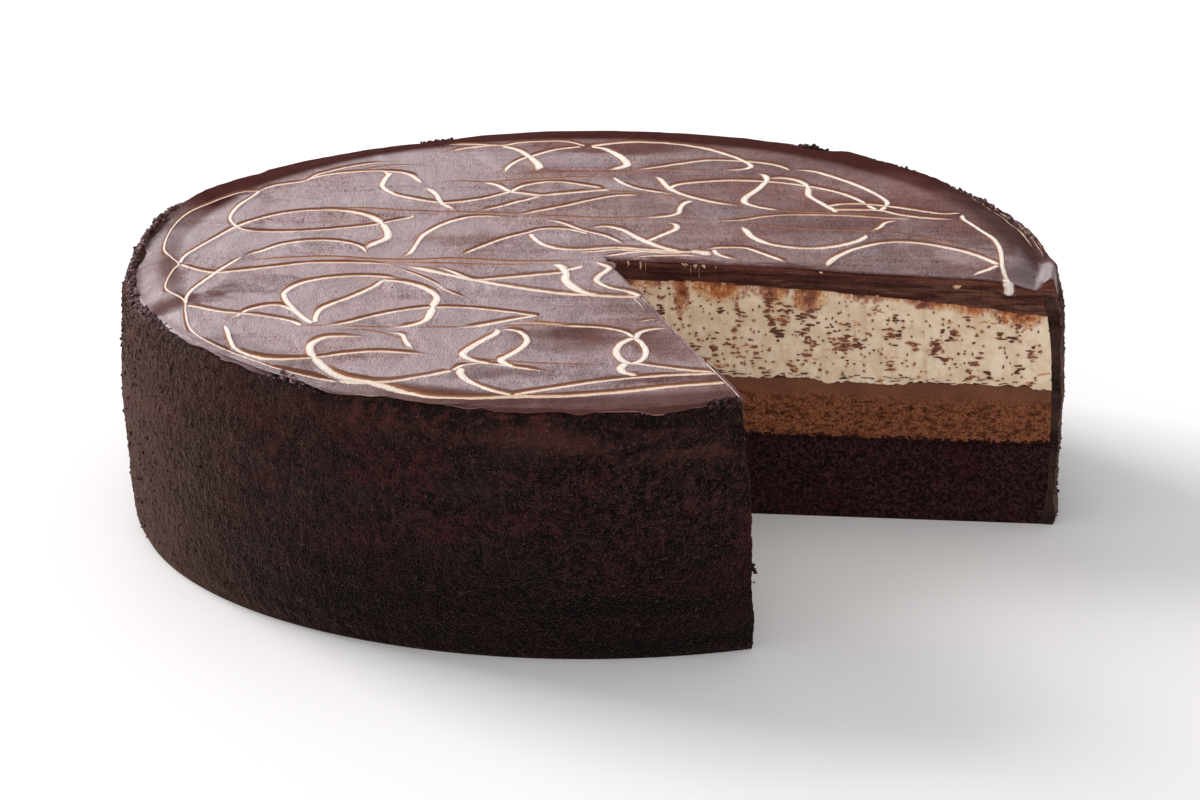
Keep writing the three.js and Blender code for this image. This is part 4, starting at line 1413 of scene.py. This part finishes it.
    (0.7, 0.1, 0.9, (14, 10), [(280, 232), (380, 200), (470, 178), (592, 162), (650, 147),
     (740, 105), (820, 60)]),
    (0.9, 0.15, 1.0, (14, 12), [(-760, -60), (-660, -40), (-560, -30), (-470, -48), (-380, -56),
     (-290, -44), (-180, -60), (-80, -58), (0, -40)]),
    (0.8, 0.1, 0.9, (14, 12), [(-620, -52), (-500, -58), (-380, -74), (-200, -84), (-60, -72)]),
    (0.8, 0.1, 0.8, (10, 12), [(-640, -484), (-540, -490), (-420, -500), (-300, -500), (-200, -492),
     (-60, -486), (90, -492)]),
    (0.7, 0.1, 0.8, (12, 12), [(-560, -512), (-460, -520), (-400, -560), (-340, -610)]),
    (0.7, 0.1, 0.8, (10, 12), [(-300, -676), (-200, -710), (-100, -730), (20, -735)]),
]
FAR_SIDE = np.array([-0.42, 0.91])       # the side of a stroke on which the cream browned and carries painted shade
FRINGE = 3.4                             # how far the brown reaches past the white
STROKE_STEP = 0.8                        # between points along a stroke
STROKE_POINTS = 9                        # points across it
SUNK = 0.05                              # how far its edges lie under the surface
DOME, WHITE_DOME = 0.12, 0.10            # height of its middle, and what white adds to it
SHORTEST_FADE, LONELY_FADE = 0.6, 5.0    # at its ends, and at an end that meets no other
LONELY = 1.6                             # an end this far from every other stroke tapers off
OUT_OF_CUT = np.array([math.sin(cut_angle(0)), -math.cos(cut_angle(0))])


def along_path(points, step):
    """A smooth curve through points at even steps: cubics whose slope at a point is half the
    way from the point before it to the point after."""
    padded = np.concatenate([2 * points[:1] - points[1:2], points,
                             2 * points[-1:] - points[-2:-1]])
    p0, p1, p2, p3 = padded[:-3, None], padded[1:-2, None], padded[2:-1, None], padded[3:, None]
    t = np.linspace(0, 1, 17)[None, :-1, None]
    curve = 0.5 * (2 * p1 + (p2 - p0) * t + (2 * p0 - 5 * p1 + 4 * p2 - p3) * t ** 2
                   + (3 * p1 - p0 - 3 * p2 + p3) * t ** 3)
    curve = np.concatenate([curve.reshape(-1, 2), points[-1:]])
    way = np.concatenate([[0], np.cumsum(np.hypot(*np.diff(curve, axis=0).T))])
    even = np.linspace(0, way[-1], max(int(way[-1] / step), 4) + 1)
    path = np.stack([np.interp(even, way, curve[:, 0]), np.interp(even, way, curve[:, 1])], -1)
    return path, even


def swirl_piece():
    """The strokes as low domed strips on the ganache, wide where they run across the drag.

    A strip is a path with a row of points across it; its height is the ganache under each point
    plus a dome, 1 - across squared, and its edges lie just under the surface. An end that
    meets no other stroke tapers off. What reaches past the shown cut at the rim hangs down it,
    by a third of the distance.
    """
    skin = Skin()
    across = np.linspace(-1, 1, STROKE_POINTS)
    dome = 1 - across[None, :] ** 2
    sides = []
    curves = [along_path(np.array(stroke[-1]) * UNIT / 1000, STROKE_STEP) for stroke in STROKES]
    for n, (width, milk, caramel_and_shade, fades, _) in enumerate(STROKES):
        path, way = curves[n]
        others = np.concatenate([curve for m, (curve, _) in enumerate(curves) if m != n])
        lonely = [np.hypot(*(others - path[end]).T).min() > LONELY for end in (0, -1)]
        fades = [max(fade, LONELY_FADE if alone else SHORTEST_FADE)
                 for fade, alone in zip(fades, lonely)]
        tangent = np.gradient(path, axis=0)
        tangent /= np.hypot(*tangent.T)[:, None]
        left = np.stack([-tangent[:, 1], tangent[:, 0]], -1)
        to_go = way[-1] - way
        living = ease(0, 1, way / fades[0]) * ease(0, 1, to_go / fades[1])
        away = np.abs(tangent[:, 1])
        core = 0.5 * mix(1.2 * width, 1.5 * width ** 2.0, away ** 1.5)
        core = core * (1 + 0.18 * drift(way / 7, way * 0 + n, 151)) * mix(0.2, 1, living)
        half = core + mix(FRINGE * mix(0.45, 1, milk), 0.55, away ** 4) * mix(0.5, 1, living)
        spot = path[:, None] + left[:, None] * (across[None, :] * half[:, None])[..., None]
        past = np.maximum((spot - TIP) @ OUT_OF_CUT, 0) * (spot[..., 0] > 90)
        spot = spot - past[..., None] * OUT_OF_CUT
        z = (ganache_surface(spot[..., 0], spot[..., 1]) - SUNK - past / 3
             + dome * (DOME + WHITE_DOME * milk * living[:, None]))
        spot = spot + (ease(0, 1, past) * (0.25 + 0.5 * dome))[..., None] * OUT_OF_CUT
        points3 = np.concatenate([spot, z[..., None]], -1)
        shape = z.shape
        marks = np.stack([np.broadcast_to(across[None, :], shape),
                          np.broadcast_to((milk * living)[:, None], shape),
                          np.broadcast_to((caramel_and_shade * mix(0.25, 1, living))[:, None], shape)], -1)
        ids = skin.lay(points3, marks)
        skin.cover(ids)
        side = np.stack([left @ FAR_SIDE, core / half, away], -1)
        sides.append(np.broadcast_to(side[:, None, :], (*shape, 3)).reshape(-1, 3))
    piece = skin.object("cream_swirl")
    carried = piece.data.attributes.new("side", "FLOAT_VECTOR", "POINT")
    carried.data.foreach_set("vector", np.concatenate(sides).astype(np.float32).ravel())
    return piece


DRIPS = [         # cream dragged over the shown cut's edge: along, start above, drop, width
    (6.0, 0.1, 1.6, 0.6), (9.2, 0.15, 2.2, 0.8), (10.6, 0.0, 3.0, 0.22),
    (21.2, 0.15, 0.9, 1.6), (22.6, 0.0, 2.8, 0.2), (23.9, 0.1, 1.2, 1.0), (24.8, -0.2, 3.8, 0.22),
    (26.3, 0.1, 1.0, 1.3), (29.2, 0.1, 0.8, 0.8), (57.0, 0.1, 0.6, 1.0),
    (92.6, -1.3, 1.1, 2.3),
]


def drip_piece():
    """Short tongues of cream down the shown cut: width a half sine of the way, domed across."""
    skin = Skin()
    way = np.linspace(0, 1, 12)[:, None]
    across = np.linspace(-1, 1, 7)[None, :]
    for n, (at, above, drop, width) in enumerate(DRIPS):
        swell = np.sin(math.pi * (0.16 + 0.80 * way)) ** 0.7
        swell = swell * (1 + 0.2 * drift(way * 4, way * 0 + n, 157))
        u = at + across * 0.5 * width * swell + 0.25 * width * drift(way * 2, way * 0 + n, 163)
        x, y = from_tip(cut_angle(0), u)
        z = ganache_surface(x, y) + above - drop * way
        base = np.stack(np.broadcast_arrays(x, y, z), -1)
        facing = cut_frame(base, 0)[1]
        proud = (0.05 + 0.55 * (1 - across ** 2)) * (0.5 + 0.5 * swell)
        shape = base.shape[:2]
        marks = np.stack([np.broadcast_to(across * 0.4, shape), np.ones(shape), np.ones(shape)], -1)
        skin.cover(skin.lay(base + facing * np.broadcast_to(proud, shape)[..., None], marks))
    return skin.object("cream_drips")


def drip_finish():
    """Cream that dragged ganache with it: beige, browned in spots of noise."""
    finish = Finish("drips")
    grain = finish.noise(finish.place(), 900, 3)
    colour = finish.blend(tone(214, 180, 150), tone(164, 112, 82), grain.eased(0.40, 0.62))
    return finish.surface(Base_Color=colour, Roughness=0.5, Specular_IOR_Level=0.3,
                          Normal=finish.bump(grain, 0.0003, 0.5))


# ---- putting the cake together -------------------------------------------------------------
def dress(piece, material, slot, *nodes):
    """Gives a piece its material and says which solid it takes the place of; its slot is not used."""
    piece.data.materials.append(material)
    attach(piece, "root")
    if nodes:
        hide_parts(*nodes)


def floor_level(x, y):
    """Height of what the cake stands on."""
    return np.zeros(np.broadcast(x, y).shape)


def raised(level):
    """A level with the clearance that lies between two solids."""
    return lambda x, y: level(x, y) + GAP


ganache = ganache_finish()
crumbs = crumb_finish()
coat = coat_finish()
sponge = sponge_finish()

dress(box_skin(layer_place(floor_level, sponge_level), 72, 320, 56,
               {"low": 8, "top": 8, "outer": 4}, cut_of_sponge, True).object("sponge"),
      sponge, "sponge", "sponge_base")
dress(box_skin(layer_place(raised(sponge_level), mousse_level), 72, 320, 40,
               {"low": 8, "top": 8, "outer": 2}, cut_of_mousse, True).object("mousse"),
      mousse_finish(), "mousse", "mousse_layer")
dress(box_skin(layer_place(raised(mousse_level), cream_level), 72, 350, 70,
               {"low": 10, "top": 10, "outer": 2}, cut_of_cream, True).object("cream"),
      cream_finish(), "cream", "cream_layer")
dress(box_skin(layer_place(raised(cream_level), ganache_surface, True), 340, 320, 24,
               {"low": 8, "top": 160, "outer": 24}, cut_of_ganache, True, lip_mark)
      .object("ganache"),
      ganache, "ganache", "ganache_top")
dress(box_skin(coat_place, 820, 10, 84,
               {"low": 2, "top": 10, "outer": 84, "inner": 6}, cut_of_coat, False, coat_mark)
      .object("crumb_wall"),
      coat, "crumbs", "crumb_coat")
dress(fleck_piece(), fleck_finish(), "ganache")
dress(swirl_piece(), swirl_finish(), "swirl")
dress(drip_piece(), drip_finish(), "swirl")
dress(rim_crumbs(), crumbs, "crumbs")
dress(wall_crumbs(), coat, "crumbs")
dress(seam_crumbs(), sponge, "sponge")


# ---- floor, light and camera ---------------------------------------------------------------
def pale_floor():
    """A plain sheet under the cake."""
    mesh = bpy.data.meshes.new("floor")
    half = 6.0
    corners = [(-half, -half, 0), (half, -half, 0), (half, half, 0), (-half, half, 0)]
    mesh.from_pydata(corners, [], [(0, 1, 2, 3)])
    floor = bpy.data.objects.new("floor", mesh)
    bpy.context.scene.collection.objects.link(floor)
    finish = Finish("floor")
    floor.data.materials.append(finish.surface(
        Base_Color=(0.86, 0.86, 0.87, 1.0), Roughness=0.9, Specular_IOR_Level=0.1))


def softbox(name, place, aim, width, height, watts, colour):
    """A rectangular light at place, turned to face aim."""
    light = bpy.data.lights.new(name, "AREA")
    light.shape = "RECTANGLE"
    light.size, light.size_y = width, height
    light.energy, light.color = watts, colour
    lamp = bpy.data.objects.new(name, light)
    bpy.context.scene.collection.objects.link(lamp)
    away = Vector(place) - Vector(aim)
    lamp.location = place
    lamp.rotation_euler = away.to_track_quat("Z", "Y").to_euler()


def studio():
    """An even pale surround, a key light and a sheen light from the back left, and a soft front."""
    world = bpy.data.worlds.new("studio")
    bpy.context.scene.world = world
    world.use_nodes = True
    sky = world.node_tree.nodes["Background"]
    sky.inputs["Color"].default_value = (1.0, 0.985, 0.98, 1.0)
    sky.inputs["Strength"].default_value = 0.62
    middle = (0.0, 0.0, 0.05)
    softbox("key", (-1.85, 1.55, 1.25), middle, 1.3, 1.3, 82, (1.0, 0.97, 0.94))
    softbox("sheen", (-1.0, 2.3, 0.95), middle, 2.4, 0.9, 25, (1.0, 0.94, 0.98))
    softbox("front", (0.4, -2.6, 1.5), middle, 2.0, 1.2, 16, (1.0, 0.98, 0.95))


CAMERA_AT = (-0.00085, -1.5167, 0.52563)
CAMERA_TURNED = (0.3167, 0.0017, -0.0091)          # tipped down, turned and rolled, in radians


def camera():
    """A long lens from the front, looking down by a little over eighteen degrees."""
    pitch, yaw, roll = CAMERA_TURNED
    forward = np.array([math.sin(yaw) * math.cos(pitch), math.cos(yaw) * math.cos(pitch),
                        -math.sin(pitch)])
    level = np.array([math.cos(yaw), -math.sin(yaw), 0.0])
    rise = np.cross(level, forward)
    right = math.cos(roll) * level + math.sin(roll) * rise
    up = -math.sin(roll) * level + math.cos(roll) * rise
    lens = bpy.data.cameras.new("camera")
    lens.lens, lens.sensor_width = 180.0, 36.0
    view = bpy.data.objects.new("camera", lens)
    bpy.context.scene.collection.objects.link(view)
    turn = np.eye(4)
    turn[:3, 0], turn[:3, 1], turn[:3, 2] = right, up, -forward
    turn[:3, 3] = CAMERA_AT
    view.matrix_world = Matrix(turn.tolist())
    bpy.context.scene.camera = view


pale_floor()
studio()
camera()
bpy.context.scene.view_settings.view_transform = "Standard"
